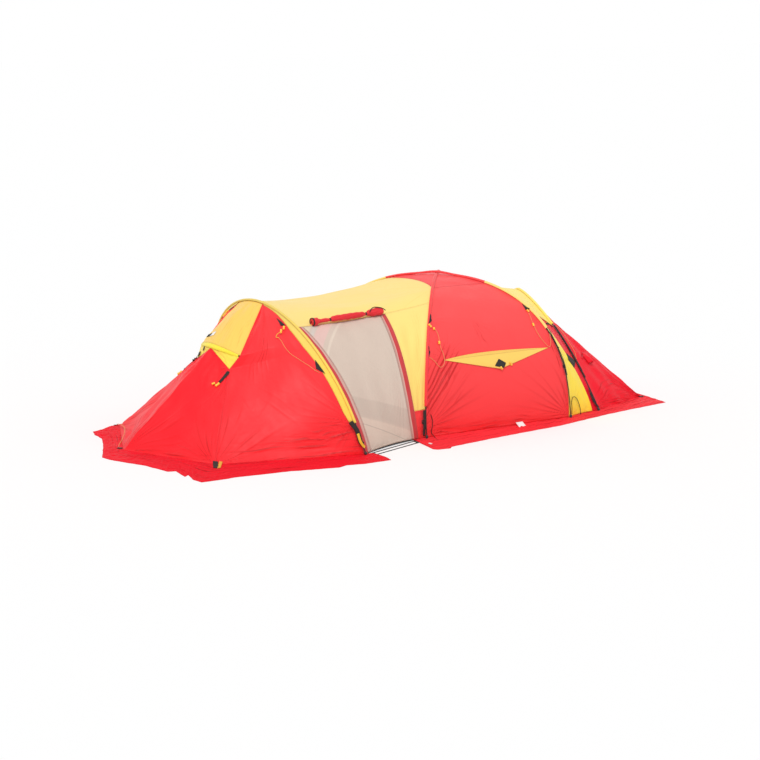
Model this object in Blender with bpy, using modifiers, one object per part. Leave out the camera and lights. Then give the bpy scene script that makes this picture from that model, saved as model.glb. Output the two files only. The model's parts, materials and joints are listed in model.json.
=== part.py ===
"""Expedition tent with a crossed-pole dome, a hoop at each end and a netted side doorway.

Metres, +Z up. +X runs to the rear, and the open doorway is on the -Y side, called near here.
The origin is on the ground under the crossing of the two dome poles.
Each panel of fabric is a sheet lofted between the seams that its poles and its hem give it.
"""

import math
from bisect import bisect_right
from dataclasses import dataclass

import bmesh
import bpy
from mathutils import Vector

# Dome: two poles that cross over the origin.
DOME_HEIGHT = 1.35
DOME_HALF_LENGTH = 0.85
DOME_HALF_WIDTH = 1.072
DOME_FULLNESS = 2.309
CAP_HALF_WIDTH = 0.393

# Front hoop, which leans forward and carries the vestibule and the nose.
FRONT_HOOP_X = -1.699
FRONT_HOOP_HALF_WIDTH = 1.344
FRONT_HOOP_HEIGHT = 1.254
FRONT_HOOP_LEAN = -0.324
FRONT_HOOP_FULLNESS = 1.974

# Rear hoop.
REAR_HOOP_X = 1.275
REAR_HOOP_HALF_WIDTH = 0.969
REAR_HOOP_HEIGHT = 1.113
REAR_HOOP_LEAN = -0.268
REAR_HOOP_FULLNESS = 1.419

# Nose: the pegged corners of its hem, and its vent hood.
NOSE_CORNER_X = -3.029
NOSE_CORNER_Y = 0.951
NOSE_TIP_X = -3.462
GUSSET_TIP_X = -2.514
GUSSET_TIP_Y = 0.313
GUSSET_TIP_Z = 0.713
BRIM_END_X = -2.433
BRIM_END_Y = 0.371
BRIM_END_Z = 0.862
BRIM_CROWN_X = -2.47
BRIM_CROWN_Z = 0.905
BRIM_DEPTH = 0.034
BRIM_THICKNESS = 0.003
BRIM_TUCK_SHARE = 0.04
BRIM_DROP = (-0.3, 0.0, -1.0)
NOSE_APEX_X = -2.535
NOSE_APEX_Z = 0.866

# Rear cone: the pegged corners of its hem, and its vent hood.
TAIL_CORNER_X = 2.074
TAIL_CORNER_Y = 0.681
TAIL_HOOD_RISE = 0.06
TAIL_HOOD_SPREAD = 0.045
TAIL_HOOD_TOP_SHARE = 0.12
TAIL_HOOD_MOUTH_SHARE = 0.40
TAIL_HOOD_TOP_WIDTH_SHARE = 0.08
TAIL_HOOD_FACING = (0.72, 0.0, 0.69)

# Places along a hoop, as a share of its length from the near foot.
HEM_STRIP_SHARE = 0.065
GUSSET_TIP_SHARE = 0.27125
BRIM_END_SHARE = 0.305625
DOOR_TOP_SHARE = 0.34
HOOD_SIDE_SHARE = 0.468
TAIL_RIDGE_SHARE = 0.3733

# Doorway edges: the share of the way from the front hoop to the dome, at the ground and its fall
# per share of the hoop's length.
FRONT_BAND_GROUND_SHARE = 0.13
FRONT_BAND_FALL_SHARE = 0.25
REAR_BAND_GROUND_SHARE = 0.81
REAR_BAND_FALL_SHARE = 0.55
REAR_BAND_OUTER_GROUND_SHARE = 0.905
REAR_BAND_OUTER_FALL_SHARE = 0.72

# Inner tent, which hangs under the dome and reaches back to the rear hoop.
INNER_HALF_LENGTH = 0.78
INNER_HALF_WIDTH = 0.98
INNER_UNDER_FLY = 0.09
INNER_HEIGHT = DOME_HEIGHT - INNER_UNDER_FLY
INNER_CAP_HALF_WIDTH = 0.36
INNER_REAR_X = 1.19
INNER_REAR_HALF_WIDTH = 0.86
INNER_REAR_HEIGHT = 1.0
INNER_REAR_LEAN = -0.22
INNER_REAR_FULLNESS = 1.6
INNER_DOOR_HALF_WIDTH = 0.30
INNER_DOOR_SILL = 0.14
INNER_DOOR_TOP = 0.98

# Side wing: a flap sewn to the dome's side along its top edge.
WING_FRONT_X = -0.565
WING_REAR_X = 0.665
WING_TIP_X = 0.056
WING_TOP_Z = 0.70
WING_TIP_Z = 0.545

# Snow flaps lie flat round the hem. The rear one's near edge is mirrored for the far side, and the
# front one's edge runs all the way round, because its far front corner is tucked back.
FLAP_THICKNESS = 0.003
FLAP_UNDER_HEM = 0.02
FLAP_FRONT_END_X = -1.60
FLAP_REAR_END_X = -1.0
FRONT_FLAP_EDGE = (
    (FLAP_FRONT_END_X, -1.64),
    (-1.87, -1.64),
    (-2.05, -1.60),
    (-2.14, -1.635),
    (-2.585, -1.522),
    (-3.1, -1.456),
    (-3.19, -1.465),
    (-3.432, -1.459),
    (-3.45, -1.34),
    (-3.401, -1.155),
    (-3.459, -1.204),
    (-3.429, -0.974),
    (-3.497, -0.947),
    (-3.562, -0.641),
    (-3.726, -0.269),
    (-3.742, -0.142),
    (-3.512, 0.31),
    (-3.409, 0.557),
    (-3.393, 0.735),
    (-3.351, 0.878),
    (-3.252, 0.903),
    (-3.106, 1.004),
    (-2.98, 1.02),
    (-2.7, 1.27),
    (-2.2, 1.5),
    (FLAP_FRONT_END_X, 1.636),
)
REAR_FLAP_EDGE = (
    (FLAP_REAR_END_X, -1.22),
    (-1.03, -1.40),
    (-1.046, -1.495),
    (-1.012, -1.53),
    (-0.894, -1.549),
    (-0.84, -1.50),
    (-0.161, -1.40),
    (0.558, -1.322),
    (1.281, -1.155),
    (1.632, -1.099),
    (2.118, -1.03),
    (2.16, -0.62),
)

# Fabric, poles and fittings.
FABRIC = 0.002
SEAM_GAP = 0.0004
CREASE_GAP = 0.0007
BUTT_GAP = 0.0013
CLEARANCE = 0.0003
HEM_HEIGHT = 0.0038
ROOM_MIDDLE_HEIGHT = 0.35
FABRIC_SAG = 0.045
NOSE_SAG = 0.03
REAR_SAG = 0.015
POLE_RADIUS = 0.00475
SLEEVE_RADIUS = 0.0095
SLEEVE_WALL = 0.0015
SLEEVE_STANDOFF = 0.0005
POLE_FOOT_FLARE = 0.022
POLE_FLARE_HEIGHT = 0.28
CUP_RADIUS = 0.013
CUP_BASE_RADIUS = 0.011
CUP_DEPTH = 0.026
CUP_FLOOR = 0.007
CUP_LIP = 0.003
CUP_SHOULDER_SHARE = 0.6
CUP_BASE_ROUND = 0.001
CROSSING_LIFT = 0.0205
CROSSING_REACH = 0.13
LOW_SLEEVE_END = 0.30
HIGH_SLEEVE_END = 0.86
FRONT_SLEEVE_END = 0.27
REAR_SLEEVE_END = 0.80
GROUNDSHEET = 0.0042
GROUNDSHEET_MARGIN = 0.004
HANGER_RADIUS = 0.0025
HANGER_CLEARANCE = 0.001
STRAP_WIDTH = 0.02
STRAP_THICKNESS = 0.0015
SILL_STRAP_SPREAD = 0.09
SILL_STRAP_PAST_HOOP = 0.056
SILL_STRAP_PAST_DOME = 0.128
SILL_STRAP_FRONT_Y = -FRONT_HOOP_HALF_WIDTH - SILL_STRAP_PAST_HOOP
SILL_STRAP_REAR_Y = -DOME_HALF_WIDTH - SILL_STRAP_PAST_DOME
ROLL_RADIUS = 0.034
ROLL_TIE_RADIUS = 0.039
ROLL_TIE_WIDTH = 0.02
ROLL_RISE = 0.045
ROLL_SETTLE = 0.0032
ROLL_END_TAPER = 0.8
ROLL_END_LENGTH = 0.02
ROLL_TIE_SHARES = (0.14, 0.82)

# Cords, each through the points of a line chosen by eye, outside the fabric that they hang over.
GUY_DIAMETER = 0.0035
PULL_DIAMETER = 0.004
PEG_CORD_DIAMETER = 0.006
CORD_PITCH = 2.6
NOSE_GUY = (
    (-2.1271, -0.5492, 1.0031),
    (-2.125, -0.598, 0.982),
    (-2.122, -0.65, 0.938),
    (-2.11, -0.697, 0.898),
    (-2.092, -0.741, 0.868),
    (-2.065, -0.806, 0.839),
    (-2.04, -0.87, 0.81),
    (-2.015, -0.918, 0.786),
    (-1.99, -0.974, 0.753),
    (-1.9642, -1.0049, 0.7349),
)
DOME_FRONT_GUY = (
    (-0.585, -0.8033, 0.9915),
    (-0.573, -0.82, 0.977),
    (-0.564, -0.842, 0.951),
    (-0.562, -0.869, 0.911),
    (-0.57, -0.894, 0.867),
    (-0.574, -0.926, 0.81),
    (-0.565, -0.945, 0.77),
    (-0.563, -0.964, 0.73),
    (-0.568, -0.98, 0.695),
    (-0.58, -0.988, 0.668),
    (-0.602, -0.994, 0.648),
    (-0.626, -0.994, 0.644),
    (-0.65, -0.987, 0.664),
    (-0.671, -0.975, 0.696),
    (-0.698, -0.963, 0.723),
    (-0.722, -0.9477, 0.7433),
)
DOME_REAR_GUY = (
    (0.56, -0.774, 1.0302),
    (0.557, -0.814, 0.988),
    (0.556, -0.851, 0.939),
    (0.57, -0.898, 0.86),
    (0.595, -0.932, 0.798),
    (0.637, -0.961, 0.737),
    (0.664, -0.975, 0.712),
    (0.684, -0.972, 0.716),
    (0.70, -0.956, 0.76),
    (0.706, -0.936, 0.80),
    (0.7132, -0.9194, 0.8262),
)
REAR_GUY = (
    (1.1267, -0.4559, 0.7998),
    (1.153, -0.48, 0.777),
    (1.186, -0.51, 0.734),
    (1.196, -0.6, 0.65),
    (1.203, -0.69, 0.56),
    (1.2004, -0.7259, 0.4925),
)
DOME_PULL = (
    (-0.783, -1.0678, 0.2207),
    (-0.771, -1.078, 0.166),
    (-0.772, -1.08, 0.113),
    (-0.784, -1.081, 0.05),
    (-0.762, -1.088, 0.018),
    (-0.776, -1.13, 0.009),
    (-0.79, -1.17, 0.007),
    (-0.82, -1.235, 0.0056),
)
REAR_PULL = (
    (0.8955, -1.0584, 0.0287),
    (0.884, -1.075, 0.09),
    (0.882, -1.07, 0.15),
    (0.905, -1.054, 0.188),
    (0.945, -1.036, 0.19),
    (0.985, -1.024, 0.16),
    (1.015, -1.019, 0.104),
    (1.031, -1.022, 0.045),
    (1.012, -1.05, 0.0056),
)
NOSE_PEG_CORD = (
    (-3.052, 0.972, 0.0066),
    (-3.073, 0.905, 0.036),
    (-3.091, 0.82, 0.052),
    (-3.107, 0.745, 0.062),
    (-3.14, 0.62, 0.064),
    (-3.19, 0.51, 0.064),
    (-3.255, 0.397, 0.052),
    (-3.335, 0.29, 0.024),
    (-3.41, 0.19, 0.011),
    (-3.47, 0.08, 0.0066),
)

# Mesh counts.
SEAM_SAMPLES = 360
TUNNEL_COLUMNS = 6
NOSE_COLUMNS = 6
SIDE_COLUMNS = 6
CAP_ROWS = 4
NOSE_FRONT_ROWS = 6
NOSE_FRONT_HALF_COLUMNS = 4
HOOD_CELLS = 4
GUSSET_CELLS = 3
BRIM_COLUMNS = 8
BRIM_ROWS = 2
WING_COLUMNS = 6
WING_ROWS = 4
TAIL_COLUMNS = 5
TAIL_HOOD_COLUMNS = 6
TAIL_HOOD_ROWS = 4
ROLL_SEAT_ROWS = 12
ROLL_SEAT_COLUMNS = 40
CROSSING_PARTS = (0.75, 0.5, 0.33, 0.2, 0.1)
CORD_CURVE_STEPS = 12
CORD_MOST_POINTS = 80
BESIDE_SEAM = 0.05

NEAR = -1
FAR = 1

TENT = bpy.data.collections.new("expedition_tent")


def clear_scene():
    """Empty the scene and link the collection that the tent goes in."""
    for old in list(bpy.data.objects):
        bpy.data.objects.remove(old, do_unlink=True)
    bpy.context.scene.collection.children.link(TENT)


def finish(name, colour, roughness, metallic=0.0):
    """A plain Principled material."""
    material = bpy.data.materials.new(name)
    material.use_nodes = True
    shader = material.node_tree.nodes["Principled BSDF"]
    shader.inputs["Base Color"].default_value = (*colour, 1.0)
    shader.inputs["Roughness"].default_value = roughness
    shader.inputs["Metallic"].default_value = metallic
    return material


RED_FLY = finish("red_fly", (0.85, 0.05, 0.04), 0.55)
YELLOW_FLY = finish("yellow_fly", (0.95, 0.68, 0.12), 0.55)
BRIGHT_YELLOW = finish("bright_yellow", (0.98, 0.80, 0.10), 0.5)
PALE_SLEEVE = finish("pale_sleeve", (0.93, 0.85, 0.40), 0.6)
DOOR_NET = finish("door_net", (0.62, 0.52, 0.42), 0.8)
INNER_CLOTH = finish("inner_cloth", (0.90, 0.82, 0.60), 0.7)
FLOOR_CLOTH = finish("floor_cloth", (0.12, 0.12, 0.13), 0.5)
BLACK_WEBBING = finish("black_webbing", (0.03, 0.03, 0.03), 0.7)
BLACK_PLASTIC = finish("black_plastic", (0.02, 0.02, 0.02), 0.4)
POLE_METAL = finish("pole_metal", (0.06, 0.06, 0.07), 0.35, 0.9)
CORD = finish("cord", (0.93, 0.47, 0.10), 0.6)


class Seam:
    """A curve through close points, read by the share of its length."""

    def __init__(self, points):
        self.points = points
        self.reach = [0.0]
        for here, there in zip(points, points[1:]):
            self.reach.append(self.reach[-1] + (there - here).length)

    def at(self, share):
        goal = min(max(share, 0.0), 1.0) * self.reach[-1]
        index = min(bisect_right(self.reach, goal), len(self.points) - 1)
        start, end = self.reach[index - 1], self.reach[index]
        return self.points[index - 1].lerp(self.points[index], (goal - start) / (end - start))

    def share_where(self, test):
        """The share of the first sample that passes a test."""
        for point, reach in zip(self.points, self.reach):
            if test(point):
                return reach / self.reach[-1]
        raise ValueError("no point of the seam passes the test")


@dataclass(frozen=True)
class Hoop:
    """A single pole's arch across the tent, whose top may stand ahead of its feet."""

    foot_x: float
    half_width: float
    height: float
    lean: float
    fullness: float

    def seam(self):
        points = []
        for step in range(SEAM_SAMPLES + 1):
            angle = math.pi * step / SEAM_SAMPLES
            along, up = math.cos(angle), math.sin(angle)
            rise = abs(up) ** (2 / self.fullness)
            y = -math.copysign(abs(along) ** (2 / self.fullness), along) * self.half_width
            z = HEM_HEIGHT + (self.height - HEM_HEIGHT) * rise
            points.append(Vector((self.foot_x + self.lean * rise, y, z)))
        return Seam(points)


@dataclass(frozen=True)
class Dome:
    """Two crossed poles. A place on a pole is its share of the way out from the crossing."""

    half_length: float
    half_width: float
    height: float
    fullness: float
    cap_half_width: float

    @property
    def cap_share(self):
        return self.cap_half_width / self.half_width

    def rise(self, out):
        """Height above the ground at a share of the way out."""
        left = max(1 - min(abs(out), 1.0) ** self.fullness, 0.0)
        return HEM_HEIGHT + (self.height - HEM_HEIGHT) * left ** (1 / self.fullness)

    def point(self, x_side, y_side, out):
        """A point on the pole that ends at the foot on the given sides."""
        return Vector((x_side * self.half_length * out, y_side * self.half_width * out, self.rise(out)))

    def edge(self, x_side):
        """The seam up one pole, straight across the end of the cap, and down the other pole."""
        places = [-self.cap_share, self.cap_share]
        for step in range(SEAM_SAMPLES + 1):
            along = math.cos(math.pi * step / SEAM_SAMPLES)
            places.append(-math.copysign(abs(along) ** (2 / self.fullness), along))
        points = []
        for across in sorted(places):
            out = max(abs(across), self.cap_share)
            y = self.half_width * across
            points.append(Vector((x_side * self.half_length * out, y, self.rise(out))))
        return Seam(points)


FRONT_HOOP = Hoop(
    FRONT_HOOP_X, FRONT_HOOP_HALF_WIDTH, FRONT_HOOP_HEIGHT, FRONT_HOOP_LEAN, FRONT_HOOP_FULLNESS
)
REAR_HOOP = Hoop(REAR_HOOP_X, REAR_HOOP_HALF_WIDTH, REAR_HOOP_HEIGHT, REAR_HOOP_LEAN, REAR_HOOP_FULLNESS)
DOME = Dome(DOME_HALF_LENGTH, DOME_HALF_WIDTH, DOME_HEIGHT, DOME_FULLNESS, CAP_HALF_WIDTH)
INNER_DOME = Dome(
    INNER_HALF_LENGTH, INNER_HALF_WIDTH, INNER_HEIGHT, DOME_FULLNESS, INNER_CAP_HALF_WIDTH
)
INNER_HOOP = Hoop(
    INNER_REAR_X, INNER_REAR_HALF_WIDTH, INNER_REAR_HEIGHT, INNER_REAR_LEAN, INNER_REAR_FULLNESS
)

FRONT_SEAM = FRONT_HOOP.seam()
REAR_SEAM = REAR_HOOP.seam()
DOME_FRONT_SEAM = DOME.edge(-1)
DOME_REAR_SEAM = DOME.edge(1)
CAP_SHARE = DOME_FRONT_SEAM.share_where(lambda point: point.y >= -CAP_HALF_WIDTH - 1e-6)


def between(start, end, count):
    """Evenly spaced numbers from start to end, both included."""
    return [start + (end - start) * step / count for step in range(count + 1)]


def join_levels(*runs):
    """One rising list from runs that share their ends."""
    joined = list(runs[0])
    for run in runs[1:]:
        joined.extend(run[1:])
    return joined


LOWER_LEVELS = join_levels(
    between(0.0, HEM_STRIP_SHARE, 2),
    between(HEM_STRIP_SHARE, GUSSET_TIP_SHARE, 6),
    between(GUSSET_TIP_SHARE, BRIM_END_SHARE, 1),
    between(BRIM_END_SHARE, DOOR_TOP_SHARE, 1),
    between(DOOR_TOP_SHARE, TAIL_RIDGE_SHARE, 1),
    between(TAIL_RIDGE_SHARE, CAP_SHARE, 1),
)
HALF_LEVELS = join_levels(
    LOWER_LEVELS, between(CAP_SHARE, HOOD_SIDE_SHARE, 2), between(HOOD_SIDE_SHARE, 0.5, 2)
)
ALL_LEVELS = HALF_LEVELS + [1 - level for level in reversed(HALF_LEVELS[:-1])]


def levels(low, high):
    """The shared levels from low to high, so that panels on one seam have the same corners."""
    small = 1e-6
    return [level for level in ALL_LEVELS if low - small <= level <= high + small]


def mirrored(rows):
    """The same grid on the other side of the tent."""
    return [[Vector((p.x, -p.y, p.z)) for p in row] for row in rows]


def inwards(point):
    """Unit vector from a point of the fly towards the middle of the room inside it."""
    return (Vector((point.x, 0.0, ROOM_MIDDLE_HEIGHT)) - point).normalized()


def loft_point(first, second, share, across, sag):
    """A point on the fabric stretched between two seams, drawn in between them."""
    point = first.at(share).lerp(second.at(share), across)
    return point + inwards(point) * sag * 4 * across * (1 - across)


def vestibule(share, across):
    return loft_point(FRONT_SEAM, DOME_FRONT_SEAM, share, across, FABRIC_SAG)


def rear_roof(share, across):
    return loft_point(DOME_REAR_SEAM, REAR_SEAM, share, across, REAR_SAG)


def front_band_edge(share):
    return FRONT_BAND_GROUND_SHARE - FRONT_BAND_FALL_SHARE * share


def rear_band_edge(share):
    return REAR_BAND_GROUND_SHARE - REAR_BAND_FALL_SHARE * share


def rear_band_outer(share):
    return REAR_BAND_OUTER_GROUND_SHARE - REAR_BAND_OUTER_FALL_SHARE * share


def boundary_shift(bm, amount):
    """How far each edge vertex of an open sheet moves, so that every edge draws in by the amount."""
    bm.normal_update()
    shifts = {}
    for vertex in bm.verts:
        pulls = []
        for edge in vertex.link_edges:
            if not edge.is_boundary:
                continue
            face = edge.link_faces[0]
            along = (edge.verts[1].co - edge.verts[0].co).normalized()
            pull = face.normal.cross(along)
            if pull.dot(face.calc_center_median() - edge.verts[0].co) < 0:
                pull.negate()
            pulls.append(pull)
        if len(pulls) == 2:
            opened = max(1 + pulls[0].dot(pulls[1]), 0.12)
            shifts[vertex] = (pulls[0] + pulls[1]) * amount / opened
    return shifts


def face_out(bm):
    """Turn an open sheet so that its faces look away from the room."""
    bmesh.ops.recalc_face_normals(bm, faces=bm.faces)
    outward = 0.0
    for face in bm.faces:
        outward -= face.normal.dot(inwards(face.calc_center_median())) * face.calc_area()
    if outward < 0:
        bmesh.ops.reverse_faces(bm, faces=bm.faces)


def add_grid(bm, rows, keep):
    """Faces between the rows of points, for the cells that are kept."""
    grid = [[bm.verts.new(point) for point in row] for row in rows]
    for i in range(len(rows) - 1):
        for j in range(len(rows[i]) - 1):
            if keep is None or keep(i, j):
                bm.faces.new((grid[i][j], grid[i][j + 1], grid[i + 1][j + 1], grid[i + 1][j]))


def sheet(name, grids, material, gap=SEAM_GAP, thickness=FABRIC, keep=None, lift=0.0):
    """A panel of fabric from one or more grids of points that share their seams."""
    bm = bmesh.new()
    for rows in grids:
        add_grid(bm, rows, keep)
    loose = [vertex for vertex in bm.verts if not vertex.link_faces]
    bmesh.ops.delete(bm, geom=loose, context="VERTS")
    bmesh.ops.remove_doubles(bm, verts=bm.verts, dist=1e-5)
    bmesh.ops.dissolve_degenerate(bm, edges=bm.edges, dist=1e-6)
    face_out(bm)
    for vertex, shift in boundary_shift(bm, gap).items():
        vertex.co += shift
    bm.normal_update()
    for vertex in bm.verts:
        vertex.co += vertex.normal * lift
    mesh = bpy.data.meshes.new(name)
    bm.to_mesh(mesh)
    bm.free()
    mesh.shade_smooth()
    mesh.materials.append(material)
    panel = bpy.data.objects.new(name, mesh)
    TENT.objects.link(panel)
    shell = panel.modifiers.new("cloth", "SOLIDIFY")
    shell.thickness = thickness
    shell.offset = 0.0
    return panel


def tube(name, points, radius, material, wall=0.0, sides_step=1):
    """A round tube along points, closed at its ends, or open with a wall."""
    curve = bpy.data.curves.new(name, "CURVE")
    curve.dimensions = "3D"
    curve.bevel_depth = radius
    curve.bevel_resolution = sides_step
    curve.use_fill_caps = wall == 0.0
    spline = curve.splines.new("POLY")
    spline.points.add(len(points) - 1)
    for slot, point in zip(spline.points, points):
        slot.co = (*point, 1.0)
    curve.materials.append(material)
    piece = bpy.data.objects.new(name, curve)
    TENT.objects.link(piece)
    if wall:
        shell = piece.modifiers.new("wall", "SOLIDIFY")
        shell.thickness = wall
        shell.offset = -1.0
    return piece


def turned(name, profile, steps, material):
    """A turned piece from its profile, which runs down its outer side."""
    bm = bmesh.new()
    corners = [bm.verts.new((radius, 0.0, height)) for radius, height in profile]
    for here, there in zip(corners, corners[1:]):
        bm.edges.new((here, there))
    mesh = bpy.data.meshes.new(name)
    bm.to_mesh(mesh)
    bm.free()
    mesh.materials.append(material)
    piece = bpy.data.objects.new(name, mesh)
    TENT.objects.link(piece)
    screw = piece.modifiers.new("turn", "SCREW")
    screw.steps = steps
    screw.render_steps = steps
    screw.use_merge_vertices = True
    screw.merge_threshold = 1e-5
    return piece


def plate(name, outline, low, high, material, hole=()):
    """A flat plate from its outline in plan, with or without a hole."""
    curve = bpy.data.curves.new(name, "CURVE")
    curve.dimensions = "2D"
    curve.fill_mode = "BOTH"
    curve.extrude = (high - low) / 2
    for edge in (outline, hole) if hole else (outline,):
        spline = curve.splines.new("POLY")
        spline.points.add(len(edge) - 1)
        for slot, (x, y) in zip(spline.points, edge):
            slot.co = (x, y, 0.0, 1.0)
        spline.use_cyclic_u = True
    curve.materials.append(material)
    piece = bpy.data.objects.new(name, curve)
    piece.location.z = (low + high) / 2
    TENT.objects.link(piece)
    weld = piece.modifiers.new("weld", "WELD")
    weld.merge_threshold = 1e-5
    return piece


def side_name(base, side):
    return f"{base}_near" if side == NEAR else f"{base}_far"


def for_side(rows, side):
    return rows if side == NEAR else mirrored(rows)


# Poles, sleeves and feet.


def standoff(point):
    """How far a pole's centre stands out from the seam under its sleeve."""
    low = max(1 - point.z / POLE_FLARE_HEIGHT, 0.0)
    return SLEEVE_RADIUS + FABRIC / 2 + SLEEVE_STANDOFF + POLE_FOOT_FLARE * low**2


def sheet_normal(point, along, towards):
    """Outward unit normal of the sheet that leaves a seam's point towards another point."""
    normal = along.cross(towards - point).normalized()
    if normal.dot(inwards(point)) > 0:
        normal.negate()
    return normal


def hoop_pole_path(seam, ahead, behind):
    """The centre line of a hoop's pole, outside the crease of the sheets ahead and behind."""
    half = []
    step = 1e-3
    for level in HALF_LEVELS:
        point = seam.at(level)
        along = (seam.at(level + step) - seam.at(level - step)).normalized()
        out = sheet_normal(point, along, ahead(level)) + sheet_normal(point, along, behind(level))
        if level == HALF_LEVELS[-1]:
            out.y = 0.0
        half.append(point + out.normalized() * standoff(point))
    far = [Vector((p.x, -p.y, p.z)) for p in reversed(half[:-1])]
    return half + far


def dome_pole_path(x_side, lift):
    """The centre line of the pole from the near foot on one side to the far foot on the other."""
    half = []
    for level in LOWER_LEVELS:
        point = DOME_FRONT_SEAM.at(level)
        half.append(abs(point.y) / DOME_HALF_WIDTH)
    half.extend(DOME.cap_share * part for part in CROSSING_PARTS)
    outs = half + [0.0] + [-out for out in reversed(half)]
    path = []
    for out in outs:
        point = DOME.point(x_side, NEAR, out)
        step = 1e-3
        above = DOME.point(x_side, NEAR, max(min(out + step, 1.0), -1.0))
        below = DOME.point(x_side, NEAR, max(min(out - step, 1.0), -1.0))
        above.z, below.z = DOME.rise(abs(out) + step), DOME.rise(abs(out) - step)
        slope = (DOME.rise(abs(out) - step) - DOME.rise(abs(out) + step)) / (2 * step * DOME_HALF_WIDTH)
        outward = Vector((0.0, math.copysign(slope, -out), 1.0)).normalized()
        from_crossing = math.hypot(point.x, point.y) / CROSSING_REACH
        extra = lift * math.exp(-(from_crossing**2))
        path.append(point + outward * standoff(point) + Vector((0.0, 0.0, extra)))
    return path


def trimmed(path, start_height, end_height):
    """The stretch of an arch's path above a height at each end, cut exactly there."""

    def cut(points, height):
        for index, point in enumerate(points):
            if point.z > height:
                before = points[index - 1]
                share = (height - before.z) / (point.z - before.z)
                return [before.lerp(point, share), *points[index:]]
        return points

    kept = cut(path, start_height)
    kept = cut(list(reversed(kept)), end_height)
    return list(reversed(kept))


def pole_cup(name, foot, above):
    """The black cup that a pole's end stands in, turned and tilted in line with the pole."""
    socket = POLE_RADIUS + CLEARANCE
    top = CUP_FLOOR + CUP_DEPTH
    profile = (
        (0.0, CUP_FLOOR),
        (socket, CUP_FLOOR),
        (socket, top),
        (socket + CUP_LIP, top),
        (CUP_RADIUS, top * CUP_SHOULDER_SHARE),
        (CUP_RADIUS, CUP_BASE_ROUND),
        (CUP_BASE_RADIUS, 0.0),
        (0.0, 0.0),
    )
    cup = turned(name, profile, 10, BLACK_PLASTIC)
    along = (above - foot).normalized()
    cup.rotation_mode = "QUATERNION"
    cup.rotation_quaternion = along.to_track_quat("Z", "Y")
    cup.location = foot - along * (CUP_FLOOR + CLEARANCE)
    return cup


def pole_end_height(foot, above):
    """Height of a pole's end when the rim of its tilted cup rests on the snow flap."""
    along = (above - foot).normalized()
    rim_drop = CUP_BASE_RADIUS * math.sqrt(max(1 - along.z**2, 0.0))
    return FLAP_THICKNESS + CLEARANCE + rim_drop + (CUP_FLOOR + CLEARANCE) * along.z


def add_pole(name, path, feet, material=POLE_METAL):
    """A pole on its path, with a cup at each foot."""
    kept = trimmed(path, *(pole_end_height(path[end], path[inner]) for end, inner in ((0, 2), (-1, -3))))
    tube(name, kept, POLE_RADIUS, material)
    pole_cup(feet[0], kept[0], kept[1])
    pole_cup(feet[1], kept[-1], kept[-2])


def add_sleeve(name, path, ends, material):
    tube(name, trimmed(path, *ends), SLEEVE_RADIUS, material, wall=SLEEVE_WALL)


def build_frame():
    """The four poles, their sleeves and the cups that they stand in."""
    front = hoop_pole_path(FRONT_SEAM, nose_ridge, lambda level: vestibule(level, BESIDE_SEAM))
    rear = hoop_pole_path(REAR_SEAM, lambda level: rear_roof(level, 1 - BESIDE_SEAM), tail_hem)
    lower = dome_pole_path(-1, 0.0)
    upper = dome_pole_path(1, CROSSING_LIFT)
    add_pole("front_hoop_pole", front, ("pole_cup_front_near", "pole_cup_front_far"))
    add_pole("dome_pole_lower", lower, ("pole_cup_dome_front_near", "pole_cup_dome_rear_far"))
    add_pole("dome_pole_upper", upper, ("pole_cup_dome_rear_near", "pole_cup_dome_front_far"))
    add_pole("rear_hoop_pole", rear, ("pole_cup_rear_near", "pole_cup_rear_far"))
    add_sleeve("front_hoop_sleeve", front, (FRONT_SLEEVE_END, FRONT_SLEEVE_END), PALE_SLEEVE)
    add_sleeve("dome_sleeve_lower", lower, (LOW_SLEEVE_END, HIGH_SLEEVE_END), RED_FLY)
    add_sleeve("dome_sleeve_upper", upper, (HIGH_SLEEVE_END, LOW_SLEEVE_END), RED_FLY)
    add_sleeve("rear_hoop_sleeve", rear, (REAR_SLEEVE_END, REAR_SLEEVE_END), YELLOW_FLY)


# Vestibule between the front hoop and the dome.


def strip_rows(surface, low, high, start, end, columns):
    """Grid on a surface between two levels and between two edges that depend on the level."""
    rows = []
    for level in levels(low, high):
        first, last = start(level), end(level)
        rows.append([surface(level, first + (last - first) * j / columns) for j in range(columns + 1)])
    return rows


def at_hoop(_level):
    return 0.0


def at_dome(_level):
    return 1.0


def build_vestibule():
    """Yellow roof, and on each side the wall beside the dome and the red bands of the doorway."""
    roof = strip_rows(vestibule, DOOR_TOP_SHARE, 1 - DOOR_TOP_SHARE, at_hoop, at_dome, TUNNEL_COLUMNS)
    sheet("vestibule_roof", [roof], YELLOW_FLY)
    for side in (NEAR, FAR):
        wall = strip_rows(vestibule, HEM_STRIP_SHARE, DOOR_TOP_SHARE, rear_band_outer, at_dome, 2)
        front = strip_rows(vestibule, 0.0, DOOR_TOP_SHARE, at_hoop, front_band_edge, 1)
        rear = strip_rows(vestibule, 0.0, DOOR_TOP_SHARE, rear_band_edge, rear_band_outer, 1)
        foot = strip_rows(vestibule, 0.0, HEM_STRIP_SHARE, rear_band_outer, at_dome, 2)
        sheet(side_name("vestibule_wall", side), [for_side(wall, side)], YELLOW_FLY)
        sheet(side_name("doorway_front_band", side), [for_side(front, side)], RED_FLY)
        rear_grids = [for_side(rear, side), for_side(foot, side)]
        sheet(side_name("doorway_rear_band", side), rear_grids, RED_FLY)


def door_rows():
    return strip_rows(vestibule, 0.0, DOOR_TOP_SHARE, front_band_edge, rear_band_edge, 4)


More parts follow.
